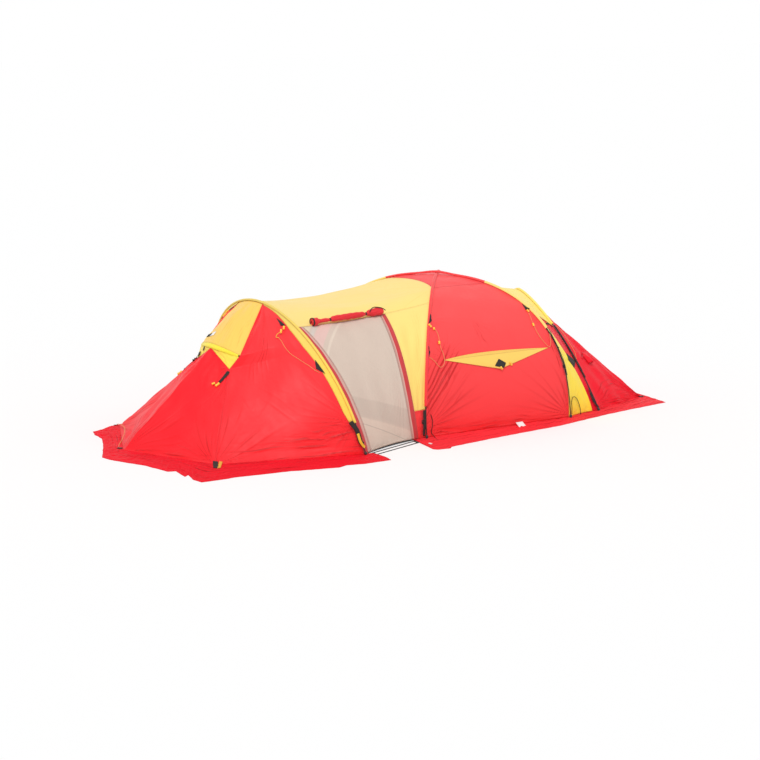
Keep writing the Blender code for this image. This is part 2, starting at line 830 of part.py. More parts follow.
def seated_roll(start, end, out):
    """The roll's axis, moved out of the roof until the roll just rests on it."""
    along = (end - start).normalized()
    radius = ROLL_TIE_RADIUS + FABRIC / 2 + CLEARANCE
    lift = 0.0
    for level in between(DOOR_TOP_SHARE, CAP_SHARE, ROLL_SEAT_ROWS):
        for across in between(0.0, 1.0, ROLL_SEAT_COLUMNS):
            spot = vestibule(level, across) - start
            if not 0.0 <= spot.dot(along) <= (end - start).length:
                continue
            height = spot.dot(out)
            sideways = (spot - along * spot.dot(along) - out * height).length
            if sideways < radius:
                lift = max(lift, height + math.sqrt(radius**2 - sideways**2))
    lift -= ROLL_SETTLE
    return start + out * lift, end + out * lift


def build_doors():
    """Netted door on the near side, closed fabric door on the far side, and the near door's roll."""
    sheet("near_net_door", [door_rows()], DOOR_NET)
    sheet("far_door", [mirrored(door_rows())], RED_FLY)
    front = vestibule(DOOR_TOP_SHARE, front_band_edge(DOOR_TOP_SHARE))
    rear = vestibule(DOOR_TOP_SHARE, rear_band_edge(DOOR_TOP_SHARE))
    middle = (front_band_edge(DOOR_TOP_SHARE) + rear_band_edge(DOOR_TOP_SHARE)) / 2
    up = (vestibule(CAP_SHARE, middle) - vestibule(DOOR_TOP_SHARE, middle)).normalized()
    out = (rear - front).normalized().cross(up)
    if out.z < 0:
        out.negate()
    start, end = seated_roll(front + up * ROLL_RISE, rear + up * ROLL_RISE, out)
    along = (end - start).normalized()
    length = (end - start).length
    stops = [(0.0, ROLL_RADIUS * ROLL_END_TAPER), (ROLL_END_LENGTH, ROLL_RADIUS)]
    half = ROLL_TIE_WIDTH / 2
    for tie in ROLL_TIE_SHARES:
        middle = tie * length
        stops.append((middle - half, ROLL_RADIUS))
        stops.append((middle - half, ROLL_TIE_RADIUS))
        stops.append((middle + half, ROLL_TIE_RADIUS))
        stops.append((middle + half, ROLL_RADIUS))
    stops.append((length - ROLL_END_LENGTH, ROLL_RADIUS))
    stops.append((length, ROLL_RADIUS * ROLL_END_TAPER))
    profile_points = [(0.0, length), *[(radius, place) for place, radius in reversed(stops)], (0.0, 0.0)]
    roll = turned("rolled_door", profile_points, 12, RED_FLY)
    roll.rotation_mode = "QUATERNION"
    roll.rotation_quaternion = along.to_track_quat("Z", "Y")
    roll.location = start


# Nose in front of the front hoop.


def nose_outline():
    """The nose's near ridge, from the pegged corner up the gusset and the hood's side."""
    corner = Vector((NOSE_CORNER_X, -NOSE_CORNER_Y, HEM_HEIGHT))
    tip = Vector((GUSSET_TIP_X, -GUSSET_TIP_Y, GUSSET_TIP_Z))
    brim = Vector((BRIM_END_X, -BRIM_END_Y, BRIM_END_Z))
    return corner, tip, brim


def brim_point(share):
    """A point on the brim's top edge, from the near end to the far end."""
    turn = math.pi * share
    x = BRIM_END_X + (BRIM_CROWN_X - BRIM_END_X) * math.sin(turn)
    z = BRIM_END_Z + (BRIM_CROWN_Z - BRIM_END_Z) * math.sin(turn)
    return Vector((x, -BRIM_END_Y * (1 - 2 * share), z))


def nose_ridge(level):
    """Where the sheet that leaves the front hoop at a level ends: on the ridge or on the brim."""
    corner, tip, brim = nose_outline()
    if level > HOOD_SIDE_SHARE:
        return brim_point((level - HOOD_SIDE_SHARE) / (1 - 2 * HOOD_SIDE_SHARE))
    if level <= GUSSET_TIP_SHARE:
        return corner.lerp(tip, level / GUSSET_TIP_SHARE)
    if level <= BRIM_END_SHARE:
        return tip.lerp(brim, (level - GUSSET_TIP_SHARE) / (BRIM_END_SHARE - GUSSET_TIP_SHARE))
    top = FRONT_SEAM.at(HOOD_SIDE_SHARE)
    return brim.lerp(top, (level - BRIM_END_SHARE) / (HOOD_SIDE_SHARE - BRIM_END_SHARE))


def nose_side_rows():
    """Grid from the front hoop to the ridge, with a row at each corner of the ridge."""
    rows = []
    for level in levels(0.0, HOOD_SIDE_SHARE):
        ridge = nose_ridge(level)
        hoop = FRONT_SEAM.at(level)
        bow = NOSE_SAG * min((ridge - hoop).length, 1.0) if level > 0 else 0.0
        row = []
        for j in range(NOSE_COLUMNS + 1):
            across = j / NOSE_COLUMNS
            point = hoop.lerp(ridge, across)
            row.append(point + inwards(point) * bow * 4 * across * (1 - across))
        rows.append(row)
    return rows


def nose_front_rows():
    """Grid from the hem up to the gussets, with a crease down the middle."""
    corner, tip, _ = nose_outline()
    apex = Vector((NOSE_APEX_X, 0.0, NOSE_APEX_Z))
    middle = Vector((NOSE_TIP_X, 0.0, HEM_HEIGHT))
    rows = []
    for share in between(0.0, 1.0, NOSE_FRONT_ROWS):
        near, centre = corner.lerp(tip, share), middle.lerp(apex, share)
        half = [near.lerp(centre, across) for across in between(0.0, 1.0, NOSE_FRONT_HALF_COLUMNS)]
        rows.append(half + [Vector((p.x, -p.y, p.z)) for p in reversed(half[:-1])])
    return rows


def hood_rows():
    """Grid from the front hoop down to the brim."""
    rows = []
    for down in between(0.0, 1.0, HOOD_CELLS):
        row = []
        for across in between(0.0, 1.0, HOOD_CELLS):
            level = HOOD_SIDE_SHARE + (1 - 2 * HOOD_SIDE_SHARE) * across
            row.append(FRONT_SEAM.at(level).lerp(brim_point(across), down))
        rows.append(row)
    return rows


def gusset_rows():
    """Grid on the near gusset, from its lowest corner up to the brim and in to the middle."""
    _, tip, brim = nose_outline()
    apex = Vector((NOSE_APEX_X, 0.0, NOSE_APEX_Z))
    under = tip.lerp(brim, 1 - BRIM_DEPTH / (BRIM_END_Z - GUSSET_TIP_Z))
    rows = []
    for up in between(0.0, 1.0, GUSSET_CELLS):
        start, end = tip.lerp(under, up), tip.lerp(apex, up)
        rows.append([start.lerp(end, across) for across in between(0.0, 1.0, GUSSET_CELLS)])
    return rows


def brim_rows():
    """Grid on the stiff brim, which leans forward as it hangs from the hood's edge."""
    drop = Vector(BRIM_DROP).normalized() * BRIM_DEPTH
    shares = between(BRIM_TUCK_SHARE, 1 - BRIM_TUCK_SHARE, BRIM_COLUMNS)
    return [[brim_point(share) + drop * down for share in shares] for down in between(0.0, 1.0, BRIM_ROWS)]


def build_nose():
    """Red side and front panels, and the yellow vent hood with its brim and gussets."""
    for side in (NEAR, FAR):
        sheet(side_name("nose_side_panel", side), [for_side(nose_side_rows(), side)], RED_FLY, CREASE_GAP)
        sheet(side_name("hood_gusset", side), [for_side(gusset_rows(), side)], YELLOW_FLY, CREASE_GAP)
    sheet("nose_front_panel", [nose_front_rows()], RED_FLY, CREASE_GAP)
    sheet("vent_hood", [hood_rows()], YELLOW_FLY, CREASE_GAP)
    sheet("hood_brim", [brim_rows()], BRIGHT_YELLOW, BUTT_GAP, thickness=BRIM_THICKNESS)


# Dome.


def side_rows():
    """Grid on the dome's near side, with rows on the corners of the pole seams."""
    rows = []
    for level in LOWER_LEVELS:
        out = abs(DOME_FRONT_SEAM.at(level).y) / DOME_HALF_WIDTH
        front, rear = DOME.point(-1, NEAR, out), DOME.point(1, NEAR, out)
        rows.append([front.lerp(rear, j / SIDE_COLUMNS) for j in range(SIDE_COLUMNS + 1)])
    return rows


def cap_grids():
    """Four faces of the cap, which meet in creases under the poles."""
    grids = []
    outs = between(0.0, DOME.cap_share, CAP_ROWS)
    for x_side, y_side in ((0, -1), (0, 1), (-1, 0), (1, 0)):
        rows = []
        for out in outs:
            if y_side:
                ends = DOME.point(-1, y_side, out), DOME.point(1, y_side, out)
            else:
                ends = DOME.point(x_side, -1, out), DOME.point(x_side, 1, out)
            rows.append([ends[0].lerp(ends[1], j / 4) for j in range(5)])
        grids.append(rows)
    return grids


def wing_rows():
    """Grid on the near side wing, from its sewn top edge to its tip."""

    def on_side(x, z):
        share = (z - HEM_HEIGHT) / (DOME_HEIGHT - HEM_HEIGHT)
        out = (1 - share**DOME_FULLNESS) ** (1 / DOME_FULLNESS)
        return Vector((x, -DOME_HALF_WIDTH * out, z))

    rows = []
    for share in between(0.0, 1.0, WING_ROWS):
        z = WING_TOP_Z + (WING_TIP_Z - WING_TOP_Z) * share
        front = WING_FRONT_X + (WING_TIP_X - WING_FRONT_X) * share
        rear = WING_REAR_X + (WING_TIP_X - WING_REAR_X) * share
        rows.append([on_side(x, z) for x in between(front, rear, WING_COLUMNS)])
    return rows


def build_dome():
    """Cap, side panels and the flaps on the sides."""
    sheet("dome_cap", cap_grids(), RED_FLY)
    for side in (NEAR, FAR):
        sheet(side_name("side_panel", side), [for_side(side_rows(), side)], RED_FLY)
        lift = FABRIC + CLEARANCE
        sheet(side_name("side_wing", side), [for_side(wing_rows(), side)], YELLOW_FLY, lift=lift)


# Rear of the dome.


def tail_hem(level):
    """Where the sheet that leaves the rear hoop at a level meets the hem of the tail."""
    across = (level - TAIL_RIDGE_SHARE) / (1 - 2 * TAIL_RIDGE_SHARE)
    across = min(max(across, 0.0), 1.0)
    return Vector((TAIL_CORNER_X, TAIL_CORNER_Y * (2 * across - 1), HEM_HEIGHT))


def build_rear():
    """Yellow roof over to the rear hoop, and the red cone behind it."""
    roof = strip_rows(rear_roof, 0.0, 1.0, at_hoop, at_dome, 3)
    sheet("rear_roof", [roof], YELLOW_FLY, CREASE_GAP)
    shares = between(0.0, 1.0, TAIL_COLUMNS)

    def tail_rows(low, high):
        """Grid from the rear hoop to the tail's hem between two levels."""
        return [[REAR_SEAM.at(level).lerp(tail_hem(level), j) for j in shares] for level in levels(low, high)]

    side = tail_rows(0.0, TAIL_RIDGE_SHARE)
    sheet("tail_side_panel_near", [side], RED_FLY, CREASE_GAP)
    sheet("tail_side_panel_far", [mirrored(side)], RED_FLY, CREASE_GAP)
    end = tail_rows(TAIL_RIDGE_SHARE, 1 - TAIL_RIDGE_SHARE)
    sheet("tail_end_panel", [end], RED_FLY, CREASE_GAP)


def build_tail_hood():
    """Small awning over the rear vent, sewn down at its sides and raised at its mouth."""
    out = Vector(TAIL_HOOD_FACING)
    rows = []
    for opened in between(0.0, 1.0, TAIL_HOOD_ROWS):
        along = TAIL_HOOD_TOP_SHARE + (TAIL_HOOD_MOUTH_SHARE - TAIL_HOOD_TOP_SHARE) * opened
        half_width = TAIL_HOOD_SPREAD * (opened + TAIL_HOOD_TOP_WIDTH_SHARE)
        row = []
        for turn in between(0.0, math.pi, TAIL_HOOD_COLUMNS):
            level = 0.5 - half_width * math.cos(turn)
            point = REAR_SEAM.at(level).lerp(tail_hem(level), along)
            row.append(point + out * (FABRIC + CLEARANCE + TAIL_HOOD_RISE * opened * math.sin(turn)))
        rows.append(row)
    sheet("tail_vent_hood", [rows], RED_FLY)


# Ground: snow flaps, sill straps and the inner tent.


def both_sides(near):
    """A line in plan from its near half, mirrored over the middle."""
    return list(near) + [(x, -y) for x, y in reversed(near)]


def flap_outline(edge, hem):
    """Outline of a flap from its outer edge and its near hem line."""
    return list(edge) + list(reversed(both_sides(hem)))


def build_flaps():
    """Snow flaps round the nose and round the dome and tail, open at the doorways."""
    under = FLAP_UNDER_HEM
    front_hem = (
        (FLAP_FRONT_END_X, -FRONT_HOOP_HALF_WIDTH + under),
        (FRONT_HOOP_X, -FRONT_HOOP_HALF_WIDTH + under),
        (NOSE_CORNER_X + under, -NOSE_CORNER_Y + under),
        (NOSE_TIP_X + under, -under),
    )
    rear_hem = (
        (FLAP_REAR_END_X, -DOME_HALF_WIDTH + under),
        (DOME_HALF_LENGTH, -DOME_HALF_WIDTH + under),
        (REAR_HOOP_X, -REAR_HOOP_HALF_WIDTH + under),
        (TAIL_CORNER_X - under, -TAIL_CORNER_Y + under),
    )
    front, rear = flap_outline(FRONT_FLAP_EDGE, front_hem), flap_outline(both_sides(REAR_FLAP_EDGE), rear_hem)
    plate("snow_flap_front", front, 0.0, FLAP_THICKNESS, RED_FLY)
    plate("snow_flap_rear", rear, 0.0, FLAP_THICKNESS, RED_FLY)


def build_sill_straps():
    """Loop of webbing across the foot of each doorway, which holds its two poles apart."""
    front, rear = FLAP_FRONT_END_X + CLEARANCE, FLAP_REAR_END_X - CLEARANCE
    slope = (SILL_STRAP_REAR_Y - SILL_STRAP_FRONT_Y) / (rear - front)
    for side in (NEAR, FAR):

        def loop(inset, face):
            """A ring's outline, drawn in by an inset on every side."""
            start, end = front + inset, rear - inset
            edges = []
            for x, y in ((start, inset), (end, inset), (end, face), (start, face)):
                edges.append((x, -side * (SILL_STRAP_FRONT_Y + slope * (x - front) + y)))
            return edges

        outer = loop(0.0, SILL_STRAP_SPREAD)
        inner = loop(STRAP_WIDTH, SILL_STRAP_SPREAD - STRAP_WIDTH)
        plate(side_name("sill_strap", side), outer, 0.0, STRAP_THICKNESS, BLACK_WEBBING, hole=inner)


# Inner tent.


def inner_out(height):
    """Share of the way out at which the inner tent's front edge has a height."""
    share = (height - HEM_HEIGHT) / (INNER_HEIGHT - HEM_HEIGHT)
    return (1 - share**DOME_FULLNESS) ** (1 / DOME_FULLNESS)


def inner_outs():
    """Shares of the way out for the rows of the inner tent, from its foot to its flat top."""
    steps = 7
    end = math.acos(INNER_DOME.cap_share ** (DOME_FULLNESS / 2))
    outs = [math.cos(end * step / steps) ** (2 / DOME_FULLNESS) for step in range(steps + 1)]
    door = [inner_out(INNER_DOOR_SILL), inner_out(INNER_DOOR_TOP)]
    outs = [out for out in outs if all(abs(out - edge) > 0.012 or out == outs[-1] for edge in door)]
    return sorted(set(outs + door), reverse=True)


def inner_canopy_rows():
    """Near half of the inner tent: front edge, crown, rear edge, rear hoop line and floor."""
    front_seam, end_seam = INNER_DOME.edge(-1), INNER_HOOP.seam()
    rows = []
    outs = inner_outs() + [INNER_DOME.cap_share / 2, 0.0]
    for out in outs:
        edge = max(out, INNER_DOME.cap_share)
        y = -INNER_HALF_WIDTH * out
        share = front_seam.share_where(lambda point: point.y >= y - 1e-6)
        end = end_seam.at(share if out else 0.5)
        if out == 0.0:
            end.y = 0.0
        front = Vector((-INNER_HALF_LENGTH * edge, y, INNER_DOME.rise(edge)))
        crown = Vector((0.0, y, INNER_DOME.rise(out)))
        rear = Vector((INNER_HALF_LENGTH * edge, y, INNER_DOME.rise(edge)))
        foot = Vector((INNER_REAR_X, end.y, HEM_HEIGHT))
        rows.append([front, crown, rear, end, foot])
    return rows


def inner_front_rows():
    """The inner tent's front wall, with columns on the sides of its doorway."""
    rows = []
    for out in inner_outs():
        corner = INNER_DOME.point(-1, NEAR, out)
        rim = (corner.y, -INNER_DOOR_HALF_WIDTH, 0.0, INNER_DOOR_HALF_WIDTH, -corner.y)
        rows.append([Vector((corner.x, y, corner.z)) for y in rim])
    return rows


def cap_underside(x, y):
    """Height of the fly over a place under the cap, on the flat between two rows of the cap."""
    out = max(abs(x) / DOME_HALF_LENGTH, abs(y) / DOME_HALF_WIDTH)
    place = out / DOME.cap_share * CAP_ROWS
    row = int(place)
    inner, outer = (DOME.rise(DOME.cap_share * step / CAP_ROWS) for step in (row, row + 1))
    return inner + (outer - inner) * (place - row) - FABRIC / 2


def build_hangers():
    """Elastic that carries each front corner of the inner tent's top from the fly above it."""
    for side in (NEAR, FAR):
        low = INNER_DOME.point(-1, side, INNER_DOME.cap_share)
        high = Vector((low.x, low.y, cap_underside(low.x, low.y) - HANGER_CLEARANCE))
        low.z += FABRIC / 2 + HANGER_CLEARANCE
        tube(side_name("inner_hanger", side), [low, high], HANGER_RADIUS, BLACK_WEBBING)


def build_inner():
    """Groundsheet, canopy, front wall with its doorway, and the door that drops from its sill."""
    margin = GROUNDSHEET_MARGIN
    near = (
        (-INNER_HALF_LENGTH - margin, -INNER_HALF_WIDTH - margin),
        (INNER_HALF_LENGTH, -INNER_HALF_WIDTH - margin),
        (INNER_REAR_X + margin, -INNER_REAR_HALF_WIDTH - margin),
    )
    outline = list(near) + [(x, -y) for x, y in reversed(near)]
    plate("groundsheet", outline, 0.0, GROUNDSHEET, FLOOR_CLOTH)
    canopy = inner_canopy_rows()
    sheet("inner_canopy", [canopy, mirrored(canopy)], INNER_CLOTH, BUTT_GAP)
    rows = inner_front_rows()
    outs = inner_outs()
    sill = outs.index(inner_out(INNER_DOOR_SILL))
    top = outs.index(inner_out(INNER_DOOR_TOP))

    def around_door(i, j):
        return not (sill <= i < top and j in (1, 2))

    sheet("inner_front_wall", [rows], INNER_CLOTH, CREASE_GAP, keep=around_door)
    door = [row[1:4] for row in rows[sill : top + 1]]
    sheet("inner_door", [door], INNER_CLOTH, CLEARANCE / 2)


# Cords.


def smooth_line(route):
    """Close points on one smooth curve through a route's points."""
    spots = [Vector(point) for point in route]
    ends = [spots[0] * 2 - spots[1], *spots, spots[-1] * 2 - spots[-2]]
    line = []
    for before, start, end, after in zip(ends, ends[1:], ends[2:], ends[3:]):
        for t in between(0.0, 1.0, CORD_CURVE_STEPS)[:-1]:
            bend = before * 2 - start * 5 + end * 4 - after
            twist = start * 3 - before - end * 3 + after
            line.append(start + (end - before + bend * t + twist * t**2) * (t / 2))
    return line + [spots[-1]]


def cord(name, route, diameter, material):
    """A free cord along its route, with points a few diameters apart."""
    seam = Seam(smooth_line(route))
    steps = min(round(seam.reach[-1] / (diameter * CORD_PITCH)), CORD_MOST_POINTS - 1)
    tube(name, [seam.at(share) for share in between(0.0, 1.0, steps)], diameter / 2, material, sides_step=2)


def build_cords():
    """Guy lines bunched up on the fly, pull cords at the feet and the cord between two pegging points."""
    cord("nose_guy_cord", NOSE_GUY, GUY_DIAMETER, CORD)
    cord("dome_front_guy_cord", DOME_FRONT_GUY, GUY_DIAMETER, CORD)
    cord("dome_rear_guy_cord", DOME_REAR_GUY, GUY_DIAMETER, CORD)
    cord("rear_guy_cord", REAR_GUY, GUY_DIAMETER, CORD)
    cord("dome_pull_cord", DOME_PULL, PULL_DIAMETER, BLACK_WEBBING)
    cord("rear_pull_cord", REAR_PULL, PULL_DIAMETER, BLACK_WEBBING)
    cord("nose_peg_cord", NOSE_PEG_CORD, PEG_CORD_DIAMETER, CORD)


def main():
    clear_scene()
    build_frame()
    build_vestibule()
    build_doors()
    build_nose()
    build_dome()
    build_rear()
    build_tail_hood()
    build_flaps()
    build_sill_straps()
    build_inner()
    build_hangers()
    build_cords()


main()
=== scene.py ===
"""Studio scene of an expedition tent: cloth, seams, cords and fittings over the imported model.

Metres, +Z up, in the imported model's own frame. +X runs to the rear and the open doorway is on the
-Y side, called near here. Each panel is a grid laid between the seams that the poles give it, with
the creases that its corners and fittings pull into it.
"""

from __future__ import annotations

import json
import logging
import math
from bisect import bisect_right
from collections.abc import Callable, Sequence
from dataclasses import dataclass, field, replace
from enum import Enum

import bmesh
import bpy
import numpy as np
from mathutils import Matrix, Vector, noise
from mathutils.bvhtree import BVHTree
from mathutils.kdtree import KDTree

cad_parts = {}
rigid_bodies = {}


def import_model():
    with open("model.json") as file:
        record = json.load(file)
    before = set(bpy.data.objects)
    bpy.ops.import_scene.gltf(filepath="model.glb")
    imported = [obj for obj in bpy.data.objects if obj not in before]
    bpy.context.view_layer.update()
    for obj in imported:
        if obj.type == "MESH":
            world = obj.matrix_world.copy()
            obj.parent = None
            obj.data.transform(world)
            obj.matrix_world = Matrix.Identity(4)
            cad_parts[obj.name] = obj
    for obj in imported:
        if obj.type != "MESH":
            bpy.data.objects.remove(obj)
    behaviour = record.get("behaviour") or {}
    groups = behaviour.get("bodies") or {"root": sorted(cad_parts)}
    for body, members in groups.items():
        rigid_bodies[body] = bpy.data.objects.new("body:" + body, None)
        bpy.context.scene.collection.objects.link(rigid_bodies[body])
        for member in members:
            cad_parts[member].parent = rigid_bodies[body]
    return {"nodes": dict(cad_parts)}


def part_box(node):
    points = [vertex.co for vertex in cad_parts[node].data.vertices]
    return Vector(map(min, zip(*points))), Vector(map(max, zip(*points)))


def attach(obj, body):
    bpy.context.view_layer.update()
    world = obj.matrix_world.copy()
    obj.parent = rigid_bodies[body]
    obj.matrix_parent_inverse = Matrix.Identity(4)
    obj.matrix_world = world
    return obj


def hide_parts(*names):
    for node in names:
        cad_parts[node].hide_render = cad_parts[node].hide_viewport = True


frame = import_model()

LOG = logging.getLogger("tent")

Surface = Callable[[float, float], Vector]
Colour = tuple[float, float, float]
Place = tuple[float, float, float]

NEAR = -1
FAR = 1
HEM_HEIGHT = 0.0038
ROOM_HEIGHT = 0.35
SEAM_SAMPLES = 360
CLOTH_LOWEST = 0.0008
ROOF_SLACK = 0.034
SLACK_FROM = 0.36
SLACK_FADE = 0.10
ROOF_SAG = 0.045
REAR_ROOF_SAG = 0.015
CAP_CUT = 0.065


class Held(Enum):
    """How a sheet of cloth is held."""

    STRETCHED = "stretched"
    LAID = "laid"
    HUNG = "hung"


# Shader maths.


class Value:
    """A shader socket that takes Python's operators, each of which adds a Math node."""

    def __init__(self, shade: Shade, socket: bpy.types.NodeSocket) -> None:
        """Wrap an output of a material that gives one number."""
        self.shade = shade
        self.socket = socket

    def _math(self, operation: str, first: object, second: object | None = None, clamp: bool = False) -> Value:
        """Add a Math node.

        Args:
            operation: The node's operation.
            first: A number or a Value.
            second: A number or a Value, if the operation takes one.
            clamp: Whether the result is kept between 0 and 1.

        Returns:
            The node's result.
        """
        inputs = {0: first} if second is None else {0: first, 1: second}
        node = self.shade.node("ShaderNodeMath", {"operation": operation, "use_clamp": clamp}, inputs)
        return Value(self.shade, node.outputs[0])

    def __add__(self, other: object) -> Value:
        """Sum."""
        return self._math("ADD", self, other)

    __radd__ = __add__

    def __sub__(self, other: object) -> Value:
        """Difference."""
        return self._math("SUBTRACT", self, other)

    def __rsub__(self, other: object) -> Value:
        """Difference with a number on the left."""
        return self._math("SUBTRACT", other, self)

    def __mul__(self, other: object) -> Value:
        """Product."""
        return self._math("MULTIPLY", self, other)

    __rmul__ = __mul__

    def __truediv__(self, other: object) -> Value:
        """Quotient."""
        return self._math("DIVIDE", self, other)

    def sine(self) -> Value:
        """Sine of an angle in radians."""
        return self._math("SINE", self)

    def size(self) -> Value:
        """Absolute value."""
        return self._math("ABSOLUTE", self)

    def wrapped(self, period: float) -> Value:
        """Distance past the last whole period."""
        return self._math("PINGPONG", self, period / 2)

    def clamped(self) -> Value:
        """The number kept between 0 and 1."""
        return self._math("ADD", self, 0.0, clamp=True)

    def below(self, limit: float, soft: float) -> Value:
        """Mask that is 1 under a limit and fades to 0 over a soft distance past it."""
        return self._math("DIVIDE", (limit + soft) - self, soft, clamp=True)


class Shade:
    """A material whose nodes are added by one method."""

    def __init__(self, name: str) -> None:
        """Start a material that holds only its shader.

        Args:
            name: The material's name.
        """
        self.material = bpy.data.materials.new(name)
        self.material.use_nodes = True
        self.tree = self.material.node_tree
        self.shader = self.tree.nodes["Principled BSDF"]

    def node(self, kind: str, settings: dict[str, object], inputs: dict[object, object]) -> bpy.types.Node:
        """Add a node.

        Args:
            kind: The node's type.
            settings: Attributes that are set before the sockets.
            inputs: Values or links, by the socket's name or number.

        Returns:
            The new node.
        """
        made = self.tree.nodes.new(kind)
        for key, value in settings.items():
            setattr(made, key, value)
        for key, value in inputs.items():
            self.feed(made.inputs[key], value)
        return made

    def set(self, name: str, value: object) -> None:
        """Feed one of the shader's own sockets."""
        self.feed(self.shader.inputs[name], value)

    def feed(self, socket: bpy.types.NodeSocket, value: object) -> None:
        """Set a socket to a number or colour, or link it.

        Args:
            socket: The socket that is fed.
            value: A Value, a node's output, or what the socket holds.
        """
        if isinstance(value, Value):
            self.tree.links.new(value.socket, socket)
        elif isinstance(value, bpy.types.NodeSocket):
            self.tree.links.new(value, socket)
        elif isinstance(value, tuple) and len(value) == 3 and socket.type == "RGBA":
            socket.default_value = (*value, 1.0)
        else:
            socket.default_value = value

    def coordinate(self, name: str) -> tuple[Value, Value]:
        """Across and up in a UV map."""
        across, up, _ = self.node("ShaderNodeSeparateXYZ", {}, {0: self.cut_map(name)}).outputs
        return Value(self, across), Value(self, up)

    def cut_map(self, name: str) -> bpy.types.NodeSocket:
        """A UV map's place."""
        return self.node("ShaderNodeUVMap", {"uv_map": name}, {}).outputs[0]

    def stretched(self, name: str, scale: Sequence[float]) -> bpy.types.NodeSocket:
        """A UV map scaled by a factor for each direction."""
        return self.node("ShaderNodeMapping", {}, {"Vector": self.cut_map(name), "Scale": tuple(scale)}).outputs[0]

    def object_place(self) -> bpy.types.NodeSocket:
        """Object coordinates."""
        return self.node("ShaderNodeTexCoord", {}, {}).outputs["Object"]

    def attribute(self, name: str) -> Value:
        """A number stored on the mesh."""
        return Value(self, self.node("ShaderNodeAttribute", {"attribute_name": name}, {}).outputs["Fac"])

    def clouds(self, place: bpy.types.NodeSocket, scale: float, detail: float = 3.0, distortion: float = 0.0) -> Value:
        """Noise around a half, with cycles for each unit, octaves and how far it bends itself."""
        settings = {"Vector": place, "Scale": scale, "Detail": detail, "Distortion": distortion}
        return Value(self, self.node("ShaderNodeTexNoise", {}, settings).outputs["Fac"])

    def blend(self, amount: object, first: object, second: object) -> bpy.types.NodeSocket:
        """Colour between two colours, by the share of the second."""
        mix = self.node("ShaderNodeMix", {"data_type": "RGBA"}, {0: amount, 6: first, 7: second})
        return mix.outputs[2]

    def bump(self, height: Value, distance: float, strength: float = 1.0) -> None:
        """Feed the shader's normal from a height, a share of the distance in metres."""
        made = self.node("ShaderNodeBump", {}, {"Height": height, "Distance": distance, "Strength": strength})
        self.set("Normal", made.outputs[0])


# Finishes. Each pair is a limit and the soft distance past it.


RIPSTOP_SQUARE = 0.006
NET_MESH = 0.0022
THREAD = (0.0004, 0.0003)
STITCH_ROWS = (0.003, 0.010)
STITCH_HALF = (0.0006, 0.0004)
STITCH_LENGTH = 0.004
STITCH_GAP = (0.0013, 0.0003)


@dataclass(frozen=True)
class Finish:
    """A finish of one of the tent's materials."""

    name: str
    slot: str
    colour: Colour
    roughness: float

    def darker(self, share: float) -> Colour:
        """The colour at a share of its strength."""
        return tuple(part * share for part in self.colour)

    def made(self) -> bpy.types.Material:
        """The material, built the first time that it is asked for."""
        known = bpy.data.materials.get(self.name)
        if known:
            return known
        shade = Shade(self.name)
        shade.set("Base Color", self.colour)
        shade.set("Roughness", self.roughness)
        self.dress(shade)
        return shade.material

    def dress(self, shade: Shade) -> None:
        """Add the finish's own detail to a plain shader."""


